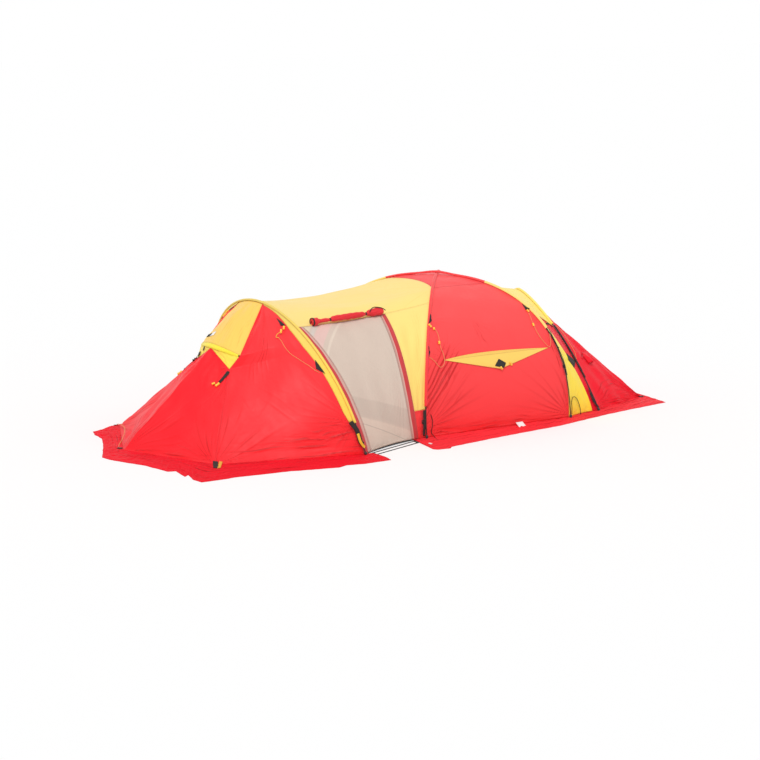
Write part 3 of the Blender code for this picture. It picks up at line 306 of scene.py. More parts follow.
@dataclass(frozen=True)
class CoatedNylon(Finish):
    """Coated ripstop nylon with seams, stitches and small creases."""

    sheen: float = 0.12
    gloss: float = 0.32
    crease: float = 0.0035
    grain: tuple[float, float] = (3.0, 5.0)
    rim_colour: Colour | None = None
    rim_width: float = 0.012
    rim_share: float = 0.45
    seam_share: float = 0.25
    # Colour blended in by height above the ground. On the red and yellow fly panels it is painted light that makes
    # their upper parts paler; on the pale sleeve it turns darker and greener towards the top.
    high_colour: Colour | None = None
    low_height: float = 0.0
    high_height: float = 1.3
    # Colour blended in across the cut. On the nose side and front panels it is painted shade: a deeper red over part
    # of each panel, so that their tones meet at the ridge. On the near zip bands it gives the inner edge the netting's
    # brown, with painted shade.
    end_colour: Colour | None = None
    end_from: float = 0.0
    end_to: float = 1.0

    def deeper(self) -> Colour:
        """The fuller colour of the shaded side of a crease."""
        return tuple(part * (0.20 + 0.42 * part) for part in self.colour)

    def dress(self, shade: Shade) -> None:
        """Ripstop squares, felled seam with two rows of stitches, creases with painted shade, and painted light and
        shade by height and across the cut.

        Args:
            shade: The material that is dressed.
        """
        across, up = shade.coordinate("cut")
        rim = shade.attribute("rim")
        ripstop = across.wrapped(RIPSTOP_SQUARE).below(*THREAD) + up.wrapped(RIPSTOP_SQUARE).below(*THREAD)
        mottle = shade.clouds(shade.stretched("cut", (2.0, 2.0, 1.0)), 1.0, 4.0)
        fine = shade.clouds(shade.stretched("cut", (self.grain[0], self.grain[1], 1.0)), 1.6, 5.0, 0.6)
        outer_row, inner_row = ((rim - place).size().below(*STITCH_HALF) for place in STITCH_ROWS)
        stitch = outer_row + inner_row
        dash = across.wrapped(STITCH_LENGTH).below(*STITCH_GAP) * up.wrapped(STITCH_LENGTH).below(*STITCH_GAP)
        stitch = stitch * (1.0 - dash)
        body = self.colour
        # The colour changes with height above the ground: painted light on the fly panels.
        if self.high_colour:
            place = shade.node("ShaderNodeSeparateXYZ", {}, {0: shade.object_place()})
            climb = (Value(shade, place.outputs[2]) - self.low_height) / (self.high_height - self.low_height)
            body = shade.blend(climb.clamped(), body, self.high_colour)
        # Painted shade across the nose and front panels; on the near zip bands, the netting's brown with painted
        # shade.
        if self.end_colour:
            run = (across - self.end_from) / (self.end_to - self.end_from)
            body = shade.blend(run.clamped(), body, self.end_colour)
        fold = shade.attribute("fold")
        body = shade.blend(mottle * 0.30, body, self.darker(0.88))
        body = shade.blend(ripstop * 0.10, body, self.darker(0.80))
        # Painted shade on the dark side of each crease, from the shade stored on the mesh.
        body = shade.blend(fold.clamped(), body, self.deeper())
        edge = self.rim_colour or self.darker(0.86)
        body = shade.blend(rim.below(self.rim_width, 0.001) * self.rim_share, body, edge)
        body = shade.blend(stitch * self.seam_share, body, self.darker(0.45))
        shade.set("Base Color", body)
        shade.set("Roughness", fine * 0.16 + (self.roughness - 0.08))
        shade.set("Sheen Weight", self.sheen)
        shade.set("Sheen Roughness", 0.45)
        shade.set("Specular IOR Level", self.gloss)
        folded = rim.below(self.rim_width, 0.001) * 0.0010
        height = fine * self.crease + ripstop * 0.00012 + folded - stitch * 0.0005
        shade.bump(height, 1.0, 0.8)


@dataclass(frozen=True)
class InsectNet(Finish):
    """Fine netting, seen as an even veil over what stands behind it, with its weave in the bump."""

    length: float = 1.383
    stripe_slope: float = 1.1
    # Painted streaks of light and of the cloth seen through the net: place, half width, share and colour of each.
    light_and_far_side_streaks: tuple[tuple[float, float, float, Colour], ...] = (
        (0.030, 0.060, 0.50, (0.86, 0.72, 0.40)), (0.150, 0.014, 0.45, (0.66, 0.62, 0.60)),
        (0.265, 0.070, 0.42, (0.92, 0.50, 0.50)), (0.430, 0.008, 0.45, (0.84, 0.72, 0.60)),
    )
    floor_slope: float = 0.29
    floor_middle: float = 0.445
    floor_half: float = 0.095
    seam_slope: float = 0.35
    seam_height: float = 0.274

    def dress(self, shade: Shade) -> None:
        """Mesh of fine threads over a paler cloth, with the bound edge and painted streaks of light and of the cloth
        seen through the net.

        Args:
            shade: The material that is dressed.
        """
        across, up = shade.coordinate("cut")
        rim = shade.attribute("rim")
        thread = across.wrapped(NET_MESH).below(*THREAD) + up.wrapped(NET_MESH).below(*THREAD)
        folds = shade.clouds(shade.stretched("cut", (2.2, 0.9, 1.0)), 1.5, 3.0, 1.2)
        veil = shade.blend(folds * 0.5, self.colour, self.darker(0.80))
        # Painted streaks of light and of the cloth seen through the net, slanting across it.
        slant = across + (self.length - up) * self.stripe_slope
        for place, half, share, colour in self.light_and_far_side_streaks:
            veil = shade.blend((slant - place).size().below(half, 0.02) * share, veil, colour)
        floor = up + across * self.floor_slope
        band = (floor - self.floor_middle).size().below(self.floor_half, 0.02)
        veil = shade.blend(floor.below(self.floor_middle - self.floor_half, 0.03) * 0.5, veil, (0.77, 0.60, 0.49))
        veil = shade.blend(band * 0.65, veil, self.darker(0.82))
        seam = (up + across * self.seam_slope - self.seam_height).size().below(0.004, 0.003)
        veil = shade.blend(seam * 0.5, veil, self.darker(0.60))
        veil = shade.blend(thread * 0.10, veil, self.darker(0.62))
        veil = shade.blend(rim.below(0.008, 0.001) * 0.35, veil, (0.34, 0.16, 0.13))
        shade.set("Base Color", veil)
        shade.set("Specular IOR Level", 0.2)
        shade.bump(folds * 0.006 + thread * 0.00015, 1.0, 0.8)


@dataclass(frozen=True)
class Webbing(Finish):
    """Woven webbing with a ribbed face."""

    rib: float = 0.0022

    def dress(self, shade: Shade) -> None:
        """Ribs across the webbing and darker selvedges.

        Args:
            shade: The material that is dressed.
        """
        across, up = shade.coordinate("cut")
        ribs = (up * (2 * math.pi / self.rib)).sine() * 0.5 + 0.5
        warp = (across * (4 * math.pi / self.rib)).sine() * 0.5 + 0.5
        wear = shade.clouds(shade.object_place(), 60.0, 3.0)
        tone = shade.blend(ribs * 0.45 + warp * 0.2, self.colour, self.darker(0.55))
        tone = shade.blend(wear * 0.3, tone, tuple(min(part * 1.8 + 0.01, 1.0) for part in self.colour))
        shade.set("Base Color", tone)
        shade.set("Specular IOR Level", 0.25)
        shade.bump(ribs * 0.0004 + warp * 0.0002, 1.0, 0.7)


@dataclass(frozen=True)
class BraidedCord(Finish):
    """Braided cord, read in object space so that it suits curves too."""

    strand: float = 0.0025

    def dress(self, shade: Shade) -> None:
        """Small diamond cells of the braid, with painted shade in the gaps between the strands.

        Args:
            shade: The material that is dressed.
        """
        cells = shade.node("ShaderNodeTexVoronoi", {}, {"Vector": shade.object_place(), "Scale": 1.0 / self.strand})
        braid = Value(shade, cells.outputs["Distance"])
        # Painted shade: darker towards the edges of each cell, where the strands part and the bump sinks.
        tone = shade.blend(braid * 0.8, self.colour, self.darker(0.5))
        shade.set("Base Color", tone)
        shade.set("Specular IOR Level", 0.3)
        shade.bump(braid * -0.0004, 1.0, 0.6)


@dataclass(frozen=True)
class MouldedPlastic(Finish):
    """Moulded plastic with a fine grain and rubbed places."""

    def dress(self, shade: Shade) -> None:
        """Fine grain in the bump and a little variation in tone.

        Args:
            shade: The material that is dressed.
        """
        place = shade.object_place()
        grain = shade.clouds(place, 900.0, 2.0)
        rubbed = shade.clouds(place, 45.0, 3.0)
        lighter = tuple(min(part * 1.5 + 0.012, 1.0) for part in self.colour)
        shade.set("Base Color", shade.blend(rubbed * 0.5, self.colour, lighter))
        shade.set("Roughness", rubbed * 0.2 + (self.roughness - 0.1))
        shade.bump(grain * 0.00008, 1.0, 0.5)


@dataclass(frozen=True)
class AnodisedTube(Finish):
    """Anodised aluminium tube with fine draw lines."""

    def dress(self, shade: Shade) -> None:
        """Metal with faint scuffs.

        Args:
            shade: The material that is dressed.
        """
        scuffs = shade.clouds(shade.object_place(), 70.0, 5.0)
        shade.set("Base Color", shade.blend(scuffs * 0.4, self.colour, (0.16, 0.16, 0.17)))
        shade.set("Roughness", scuffs * 0.25 + (self.roughness - 0.12))
        shade.set("Metallic", 0.85)


# Lit and shaded copies of the one red fly cloth: the side, nose, front, tail and cap tones differ only as painted
# light and shade.
RED_SIDE = CoatedNylon(
    "red_side_cloth", "red_fly", (0.93, 0.030, 0.036), 0.5, sheen=0.16, high_colour=(0.95, 0.085, 0.085)
)
RED_NOSE = CoatedNylon(
    "red_nose_cloth", "red_fly", (0.93, 0.015, 0.024), 0.5, sheen=0.10, high_colour=(0.95, 0.034, 0.040),
    end_colour=(0.92, 0.010, 0.019), end_from=0.75, end_to=1.38,
)
RED_FRONT = CoatedNylon(
    "red_front_cloth", "red_fly", (0.92, 0.018, 0.027), 0.5, sheen=0.08, gloss=0.2,
    end_colour=(0.92, 0.008, 0.018), end_from=0.0, end_to=0.55,
)
RED_TAIL = CoatedNylon("red_tail_cloth", "red_fly", (0.87, 0.006, 0.022), 0.5, sheen=0.05, gloss=0.15)
RED_CAP = CoatedNylon("red_cap_cloth", "red_fly", (0.93, 0.060, 0.064), 0.5, sheen=0.14)
RED_ROLL = CoatedNylon("red_roll_cloth", "red_fly", (0.80, 0.020, 0.030), 0.55, crease=0.005)
RED_BAND = CoatedNylon(
    "red_zip_band", "red_fly", (0.58, 0.045, 0.050), 0.55, rim_colour=(0.38, 0.026, 0.030), rim_share=0.6
)
FRONT_BAND = replace(
    RED_BAND, name="front_zip_band_cloth", rim_colour=(0.42, 0.10, 0.08), rim_share=0.35,
    end_colour=(0.66, 0.47, 0.39), end_from=0.074, end_to=0.080,
)
REAR_BAND = replace(FRONT_BAND, name="rear_zip_band_cloth", end_from=0.030, end_to=0.024)
RED_FLAP = CoatedNylon(
    "red_flap_cloth", "red_fly", (0.84, 0.005, 0.019), 0.6, sheen=0.03, gloss=0.10, crease=0.006, grain=(5.0, 6.0)
)
# A lighter copy of the flap cloth for the rear flap: painted light.
RED_REAR_FLAP = replace(RED_FLAP, name="red_rear_flap_cloth", colour=(0.90, 0.030, 0.044))
# The yellow roof cloths are paler towards the top, painted light; the rear roof's cloth is a brighter copy that makes
# up for its shaded side.
YELLOW_ROOF = CoatedNylon(
    "yellow_roof_cloth", "yellow_fly", (0.95, 0.65, 0.135), 0.5, crease=0.0028, high_colour=(0.97, 0.74, 0.24),
    rim_share=0.06, seam_share=0.05,
)
YELLOW_REAR = CoatedNylon(
    "yellow_rear_cloth", "yellow_fly", (1.0, 0.76, 0.045), 0.5, crease=0.0028, high_colour=(0.98, 0.78, 0.26),
    low_height=0.55, high_height=1.05, rim_share=0.15, seam_share=0.10,
)
DEEP_YELLOW = CoatedNylon("deep_yellow_cloth", "yellow_fly", (0.95, 0.60, 0.110), 0.5, crease=0.0025)
WING_YELLOW = CoatedNylon("wing_cloth", "yellow_fly", (0.95, 0.61, 0.125), 0.5, crease=0.0025)
GUSSET_YELLOW = CoatedNylon("gusset_cloth", "yellow_fly", (0.98, 0.76, 0.09), 0.5, crease=0.0015)
BRIM_YELLOW = CoatedNylon("brim_cloth", "bright_yellow", (0.99, 0.83, 0.05), 0.45, crease=0.001)
SLEEVE_YELLOW = CoatedNylon(
    "pale_sleeve_cloth", "pale_sleeve", (0.96, 0.66, 0.09), 0.5, crease=0.003, high_colour=(0.76, 0.62, 0.17),
    low_height=0.75, high_height=1.2,
)
DOOR_NET = InsectNet("door_netting", "door_net", (0.69, 0.555, 0.465), 0.8)
INNER_CLOTH = CoatedNylon("inner_tent_cloth", "inner_cloth", (0.88, 0.76, 0.50), 0.7, crease=0.004)
FLOOR_CLOTH = CoatedNylon("groundsheet_cloth", "floor_cloth", (0.07, 0.07, 0.08), 0.5)
WHITE_LABEL = CoatedNylon("white_label_cloth", "inner_cloth", (0.92, 0.90, 0.88), 0.6, crease=0.001)
BLACK_WEBBING = Webbing("black_webbing_weave", "black_webbing", (0.030, 0.026, 0.024), 0.75)
DARK_PATCH = Webbing("dark_patch_weave", "black_webbing", (0.045, 0.040, 0.036), 0.8, rib=0.004)
YELLOW_WEBBING = Webbing("yellow_webbing_weave", "yellow_fly", (0.93, 0.55, 0.04), 0.7)
ORANGE_WEBBING = Webbing("orange_webbing_weave", "cord", (0.90, 0.40, 0.06), 0.7)
GUY_CORD = BraidedCord("guy_cord_braid", "cord", (0.95, 0.42, 0.16), 0.6)
BRIM_PIPING = BraidedCord("brim_piping_cloth", "bright_yellow", (0.99, 0.83, 0.05), 0.5)
BLACK_CORD = BraidedCord("black_cord_braid", "black_webbing", (0.02, 0.018, 0.017), 0.7)
TOGGLE_PLASTIC = MouldedPlastic("toggle_plastic", "cord", (0.96, 0.50, 0.05), 0.4)
BLACK_PLASTIC = MouldedPlastic("black_fitting_plastic", "black_plastic", (0.018, 0.017, 0.016), 0.45)
POLE_METAL = AnodisedTube("anodised_pole", "pole_metal", (0.014, 0.014, 0.016), 0.4)


# Seams and arches.


class Seam:
    """A curve through close points, read by the share of its length."""

    def __init__(self, points: list[Vector]) -> None:
        """Measure the curve.

        Args:
            points: The curve's points in order.
        """
        self.points = points
        self.reach = [0.0]
        for here, there in zip(points, points[1:]):
            self.reach.append(self.reach[-1] + (there - here).length)

    @property
    def length(self) -> float:
        """Length along the curve."""
        return self.reach[-1]

    def at(self, share: float) -> Vector:
        """Point at a share of the length."""
        goal = min(max(share, 0.0), 1.0) * self.reach[-1]
        index = min(bisect_right(self.reach, goal), len(self.points) - 1)
        start, end = self.reach[index - 1], self.reach[index]
        return self.points[index - 1].lerp(self.points[index], (goal - start) / (end - start))

    def heading(self, share: float) -> Vector:
        """Unit direction of the curve at a share of its length."""
        step = 1e-3
        return (self.at(share + step) - self.at(share - step)).normalized()


@dataclass(frozen=True)
class Hoop:
    """A single pole's arch across the tent, whose top may stand ahead of its feet."""

    foot_x: float
    half_width: float
    height: float
    lean: float
    fullness: float

    def seam(self) -> Seam:
        """The seam under the pole, from the near foot to the far one."""
        points = []
        for step in range(SEAM_SAMPLES + 1):
            angle = math.pi * step / SEAM_SAMPLES
            along, up = math.cos(angle), math.sin(angle)
            rise = abs(up) ** (2 / self.fullness)
            y = -math.copysign(abs(along) ** (2 / self.fullness), along) * self.half_width
            z = HEM_HEIGHT + (self.height - HEM_HEIGHT) * rise
            points.append(Vector((self.foot_x + self.lean * rise, y, z)))
        return Seam(points)


@dataclass(frozen=True)
class CrossedArches:
    """Two crossed poles. A place on a pole is its share of the way out from the crossing."""

    half_length: float
    half_width: float
    height: float
    fullness: float
    cap_half_width: float

    @property
    def cap_share(self) -> float:
        """Share of the way out at which the cap ends."""
        return self.cap_half_width / self.half_width

    def rise(self, out: float) -> float:
        """Height above the ground at a share of the way out."""
        left = max(1 - min(abs(out), 1.0) ** self.fullness, 0.0)
        return HEM_HEIGHT + (self.height - HEM_HEIGHT) * left ** (1 / self.fullness)

    def out_at(self, height: float) -> float:
        """Share of the way out at which a pole has a height."""
        share = (height - HEM_HEIGHT) / (self.height - HEM_HEIGHT)
        return (1 - share**self.fullness) ** (1 / self.fullness)

    def point(self, x_side: float, y_side: float, out: float) -> Vector:
        """Point on the pole that ends at the foot on the given sides."""
        return Vector((x_side * self.half_length * out, y_side * self.half_width * out, self.rise(out)))

    def edge(self, x_side: int) -> Seam:
        """The seam up one pole, straight across the end of the cap, and down the other pole."""
        places = [-self.cap_share, self.cap_share]
        for step in range(SEAM_SAMPLES + 1):
            along = math.cos(math.pi * step / SEAM_SAMPLES)
            places.append(-math.copysign(abs(along) ** (2 / self.fullness), along))
        points = []
        for across in sorted(places):
            out = max(abs(across), self.cap_share)
            y = self.half_width * across
            points.append(Vector((x_side * self.half_length * out, y, self.rise(out))))
        return Seam(points)


FRONT_HOOP = Hoop(-1.699, 1.344, 1.254, -0.324, 1.974)
REAR_HOOP = Hoop(1.275, 0.969, 1.113, -0.268, 1.419)
DOME = CrossedArches(0.85, 1.072, 1.35, 2.309, 0.393)
FRONT_SEAM = FRONT_HOOP.seam()
REAR_SEAM = REAR_HOOP.seam()
DOME_FRONT_SEAM = DOME.edge(-1)
DOME_REAR_SEAM = DOME.edge(1)


def between(start: float, end: float, share: float | np.ndarray) -> float | np.ndarray:
    """Number at a share of the way from start to end."""
    return start + (end - start) * share


def eased(share: float | np.ndarray) -> float | np.ndarray:
    """A share from 0 to 1 that starts and stops softly."""
    return share * share * (3 - 2 * share)


def read_table(table: Sequence[tuple[float, float]], place: float, soft: bool = False) -> float:
    """Number at a place between a table's rows.

    Args:
        table: Rows of a place and its number.
        place: Where the table is read.
        soft: Whether the number eases from row to row.

    Returns:
        The number, which stays that of the first or last row outside the table.
    """
    index = min(max(bisect_right([row_place for row_place, _ in table], place), 1), len(table) - 1)
    (start, low), (end, high) = table[index - 1], table[index]
    share = min(max((place - start) / (end - start), 0.0), 1.0)
    return between(low, high, eased(share) if soft else share)


def inwards(point: Vector) -> Vector:
    """Unit vector from a point of the fly towards the middle of the room inside it."""
    return (Vector((point.x, 0.0, ROOM_HEIGHT)) - point).normalized()


def drawn_in(first: Vector, second: Vector, across: float, sag: float) -> Vector:
    """Point between two seam points, drawn in by a sag that is full half way across."""
    point = first.lerp(second, across)
    return point + inwards(point) * sag * 4 * across * (1 - across)


def cap_edge(y: float) -> float:
    """How far the yellow cloth reaches back over the cap, at a distance from the tent's middle line."""
    share = min(abs(y) / DOME.cap_half_width, 1.0)
    return CAP_CUT * (1 - share * share)


def cap_point(x: float, y: float) -> Vector:
    """Point on the cap, whose four faces meet in creases under the poles."""
    return Vector((x, y, DOME.rise(max(abs(x) / DOME.half_length, abs(y) / DOME.half_width))))


def vestibule(level: float, across: float) -> Vector:
    """Point between the front hoop and the dome, slack along the roof."""
    rear = DOME_FRONT_SEAM.at(level)
    if abs(rear.y) < DOME.cap_half_width:
        rear = cap_point(rear.x + cap_edge(rear.y), rear.y)
    high = min(max((min(level, 1 - level) - SLACK_FROM) / SLACK_FADE, 0.0), 1.0)
    slack = ROOF_SLACK * eased(high) * max(math.sin(math.pi * across**0.8), 0.0) ** 1.3
    point = drawn_in(FRONT_SEAM.at(level), rear, across, ROOF_SAG)
    return point + inwards(point) * slack


def rear_roof(level: float, across: float) -> Vector:
    """Point between the dome and the rear hoop."""
    return drawn_in(DOME_REAR_SEAM.at(level), REAR_SEAM.at(level), across, REAR_ROOF_SAG)


def for_side(surface: Surface, side: int) -> Surface:
    """The same surface on the near or the far side.

    Args:
        surface: A surface on the near side.
        side: NEAR or FAR.

    Returns:
        The surface on that side.
    """
    if side == NEAR:
        return surface

    def turned(across: float, up: float) -> Vector:
        """The near surface's point, mirrored."""
        point = surface(across, up)
        return Vector((point.x, -point.y, point.z))

    return turned


def side_name(base: str, side: int) -> str:
    """Name of a piece on one side."""
    return f"{base}_near" if side == NEAR else f"{base}_far"


# Creases.


SHADE_TURN = 0.85


def drift(x: np.ndarray, y: np.ndarray, size: float, seed: float) -> np.ndarray:
    """Smooth wandering between about -1 and 1 over a plane.

    Args:
        x: Places across.
        y: Places up.
        size: Distance between a rise and the next hollow.
        seed: Which of the patterns.

    Returns:
        The heights.
    """
    total = np.zeros_like(x)
    for turn in range(6):
        angle = 1.7 * seed + 2.399 * turn
        pace = math.pi * (1 + 0.31 * turn) / size
        total += np.sin(pace * (x * math.cos(angle) + y * math.sin(angle)) + 5.1 * seed + 1.9 * turn)
    return total / 3.2


def ridged(phase: np.ndarray, keen: float) -> tuple[np.ndarray, np.ndarray]:
    """Narrow ridges once a turn, and the shaded side of each, both from 0 to 1."""
    shade = np.maximum(np.cos(phase - SHADE_TURN), 0.0) ** (keen * 0.9)
    return np.maximum(np.cos(phase), 0.0) ** keen, shade


@dataclass(frozen=True)
class Cut:
    """Places across and up a sheet as it was cut, and its size, in metres."""

    x: np.ndarray
    y: np.ndarray
    width: float
    length: float


@dataclass(frozen=True)
class Fan:
    """Creases that radiate from a point where the cloth is pulled."""

    across: float
    up: float
    depth: float
    reach: float
    count: float
    phase: float = 0.0
    shade: float = 0.5
    keen: float = 3.0

    def relief(self, cut: Cut) -> tuple[np.ndarray, np.ndarray]:
        """Height off the smooth cloth, and shade.

        Args:
            cut: The sheet's places and size.

        Returns:
            The heights and the shades.
        """
        dx, dy = cut.x - self.across * cut.width, cut.y - self.up * cut.length
        away = np.hypot(dx, dy) + 1e-6
        turn = np.arctan2(dy, dx)
        seed = 3.0 + self.phase
        strength = away / (away + 0.04) * np.exp(-((away / self.reach) ** 2))
        strength = strength * (0.65 + 0.6 * drift(turn, away * 0.6, 0.35, seed))
        phase = self.count * turn + self.phase + 2.2 * drift(turn, away * 0.8, 0.9, seed + 2.0)
        ridge, shade = ridged(phase, self.keen)
        return self.depth * strength * (ridge - 0.25), self.shade * strength * shade


@dataclass(frozen=True)
class Pulls:
    """Nearly parallel creases along a line of tension."""

    start: tuple[float, float]
    end: tuple[float, float]
    spread: float
    spacing: float
    depth: float
    seed: float = 0.0
    shade: float = 0.5
    keen: float = 3.0
    opening: float = 0.8
    wander: float = 1.8
    patchy: float = 0.8

    def relief(self, cut: Cut) -> tuple[np.ndarray, np.ndarray]:
        """Height off the smooth cloth, and shade.

        Args:
            cut: The sheet's places and size.

        Returns:
            The heights and the shades.
        """
        ax, ay = self.start[0] * cut.width, self.start[1] * cut.length
        dx, dy = self.end[0] * cut.width - ax, self.end[1] * cut.length - ay
        reach = math.hypot(dx, dy)
        along = ((cut.x - ax) * dx + (cut.y - ay) * dy) / reach
        aside = ((cut.y - ay) * dx - (cut.x - ax) * dy) / reach
        share = np.clip(along / reach, -0.15, 1.15)
        taper = np.sin(math.pi * (share + 0.15) / 1.3) ** 0.8
        open_to = 1.0 - self.opening / 2 + self.opening * share
        bed = np.exp(-((aside / (self.spread * open_to)) ** 2))
        ends = drift(aside / open_to, along * 0.22, self.spacing * 1.7, self.seed + 1.0)
        ends = 1.3 - self.patchy + self.patchy * ends
        phase = 2 * math.pi * aside / (self.spacing * open_to)
        phase = phase + self.wander * drift(along, aside, max(reach * 0.4, 0.1), self.seed)
        ridge, shade = ridged(phase, self.keen)
        strength = taper * bed * np.clip(ends, 0.0, 1.4)
        return self.depth * strength * (ridge - 0.25), self.shade * strength * shade


@dataclass(frozen=True)
class Slack:
    """Gentle rise and fall of cloth that isn't quite taut."""

    depth: float
    across: float
    up: float
    seed: float = 0.0

    def relief(self, cut: Cut) -> tuple[np.ndarray, np.ndarray]:
        """Height off the smooth cloth, and no shade."""
        return self.depth * drift(cut.x / self.across, cut.y / self.up, 1.0, self.seed), np.zeros_like(cut.x)


Relief = Fan | Pulls | Slack


# Pieces.


def place_piece(name: str, data: bpy.types.ID, finish: Finish, body: str = "tent") -> bpy.types.Object:
    """Add a mesh or curve to the scene as a piece.

    Args:
        name: The piece's name.
        data: Its mesh or curve.
        finish: What it is made of.
        body: The body that it moves with.

    Returns:
        The object.
    """
    data.materials.append(finish.made())
    piece = bpy.data.objects.new(name, data)
    bpy.context.scene.collection.objects.link(piece)
    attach(piece, body)
    return piece


def add_piece(name: str, bm: bmesh.types.BMesh, finish: Finish, body: str = "tent") -> bpy.types.Object:
    """Add a finished mesh to the scene as a piece.

    Args:
        name: The piece's name.
        bm: Its mesh, which is freed.
        finish: What it is made of.
        body: The body that it moves with.

    Returns:
        The object.
    """
    mesh = bpy.data.meshes.new(name)
    bm.to_mesh(mesh)
    bm.free()
    mesh.shade_smooth()
    return place_piece(name, mesh, finish, body)


# Cords.


NOSE_GUY = (
    (-2.1271, -0.5492, 1.0031), (-2.125, -0.598, 0.982), (-2.122, -0.65, 0.938), (-2.11, -0.697, 0.898),
    (-2.092, -0.741, 0.868), (-2.065, -0.806, 0.839), (-2.04, -0.87, 0.81), (-2.015, -0.918, 0.786),
    (-1.99, -0.974, 0.753), (-1.9642, -1.0049, 0.7349),
)
DOME_FRONT_GUY = (
    (-0.585, -0.8033, 0.9915), (-0.573, -0.82, 0.977), (-0.564, -0.842, 0.951), (-0.562, -0.869, 0.911),
    (-0.57, -0.894, 0.867), (-0.574, -0.926, 0.81), (-0.565, -0.945, 0.77), (-0.563, -0.964, 0.73),
    (-0.568, -0.98, 0.695), (-0.58, -0.988, 0.668), (-0.602, -0.994, 0.648), (-0.626, -0.994, 0.644),
    (-0.65, -0.987, 0.664), (-0.671, -0.975, 0.696), (-0.698, -0.963, 0.723), (-0.722, -0.9477, 0.7433),
)
DOME_REAR_GUY = (
    (0.56, -0.774, 1.0302), (0.557, -0.814, 0.988), (0.556, -0.851, 0.939), (0.57, -0.898, 0.86),
    (0.595, -0.932, 0.798), (0.637, -0.961, 0.737), (0.664, -0.975, 0.712), (0.684, -0.972, 0.716),
    (0.70, -0.956, 0.76), (0.706, -0.936, 0.80), (0.7132, -0.9194, 0.8262),
)
REAR_GUY = (
    (1.1267, -0.4559, 0.7998), (1.153, -0.48, 0.777), (1.186, -0.51, 0.734), (1.196, -0.6, 0.65),
    (1.203, -0.69, 0.56), (1.2004, -0.7259, 0.4925),
)
DOME_PULL = (
    (-0.783, -1.0678, 0.2207), (-0.771, -1.078, 0.166), (-0.772, -1.08, 0.113), (-0.784, -1.081, 0.05),
    (-0.762, -1.088, 0.018), (-0.776, -1.13, 0.009), (-0.79, -1.17, 0.007), (-0.82, -1.235, 0.0056),
)
REAR_PULL = (
    (0.8955, -1.0584, 0.0287), (0.884, -1.075, 0.09), (0.882, -1.07, 0.15), (0.905, -1.054, 0.188),
    (0.945, -1.036, 0.19), (0.985, -1.024, 0.16), (1.015, -1.019, 0.104), (1.031, -1.022, 0.045),
    (1.012, -1.05, 0.0056),
)
NOSE_PEG_CORD = (
    (-3.052, 0.972, 0.0066), (-3.073, 0.905, 0.036), (-3.091, 0.82, 0.052), (-3.107, 0.745, 0.062),
    (-3.14, 0.62, 0.064), (-3.19, 0.51, 0.064), (-3.255, 0.397, 0.052), (-3.335, 0.29, 0.024),
    (-3.41, 0.19, 0.011), (-3.47, 0.08, 0.0066),
)
CURVE_STEPS = 8
KNOT_LIFT = 0.0012


def smooth_route(points: Sequence[Sequence[float]], steps: int) -> list[Vector]:
    """Points on one smooth curve through a route's own points.

    Args:
        points: The route.
        steps: Points for each stretch.

    Returns:
        The curve's points.
    """
    route = [Vector(point) for point in points]
    ends = [route[0] * 2 - route[1], *route, route[-1] * 2 - route[-2]]
    curve = []
    for index in range(len(route) - 1):
        before, start, end, after = ends[index : index + 4]
        for step in range(steps):
            t = step / steps
            square = 2 * before - 5 * start + 4 * end - after
            cube = 3 * start - before - 3 * end + after
            curve.append(0.5 * (2 * start + (end - before) * t + square * t * t + cube * t**3))
    curve.append(route[-1])
    return curve


def cord_curve(name: str, points: list[Vector], diameter: float, finish: Finish) -> bpy.types.Object:
    """A round cord along points.

    Args:
        name: The piece's name.
        points: The line that it follows.
        diameter: Its diameter.
        finish: What it is made of.

    Returns:
        The curve object.
    """
    curve = bpy.data.curves.new(name, "CURVE")
    curve.dimensions = "3D"
    curve.bevel_depth = diameter / 2
    curve.bevel_resolution = 3
    curve.use_fill_caps = True
    spline = curve.splines.new("POLY")
    spline.points.add(len(points) - 1)
    for slot, point in zip(spline.points, points):
        slot.co = (*point, 1.0)
    spline.use_smooth = True
    return place_piece(name, curve, finish)


@dataclass(frozen=True)
class Cord:
    """A free cord of the tent, from one tab to another or to the ground."""

    node: str
    route: tuple[Place, ...]
    diameter: float
    finish: Finish
    far_end: str
    stiffness: str = "limp"
    lay: str = "hanging"

    def points(self) -> list[Vector]:
        """The cord's line."""
        return smooth_route(self.route, CURVE_STEPS)

    def build(self) -> None:
        """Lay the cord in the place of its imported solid."""
        points = self.points()
        length = Seam(points).length
        piece = cord_curve(f"{self.node}_line", points, self.diameter, self.finish)
        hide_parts(self.node)
        if self.far_end == "knot":
            place = points[-1] + Vector((0.0, 0.0, KNOT_LIFT))
            tie_knot(f"{self.node}_knot", place, self.diameter, self.finish)
        LOG.info("%s: %.2f m of %.1f mm cord", piece.name, length, self.diameter * 1000)


def tie_knot(name: str, place: Vector, diameter: float, finish: Finish) -> bpy.types.Object:
    """A small overhand knot.

    Args:
        name: The piece's name.
        place: Its middle.
        diameter: The cord's diameter.
        finish: What it is made of.

    Returns:
        The knot.
    """
    points = []
    for step in range(37):
        turn = 2 * math.pi * step / 36
        x = math.sin(turn) + 2 * math.sin(2 * turn)
        y = math.cos(turn) - 2 * math.cos(2 * turn)
        points.append(place + Vector((x, y, -0.8 * math.sin(3 * turn))) * diameter * 0.55)
    return cord_curve(name, points, diameter * 0.9, finish)


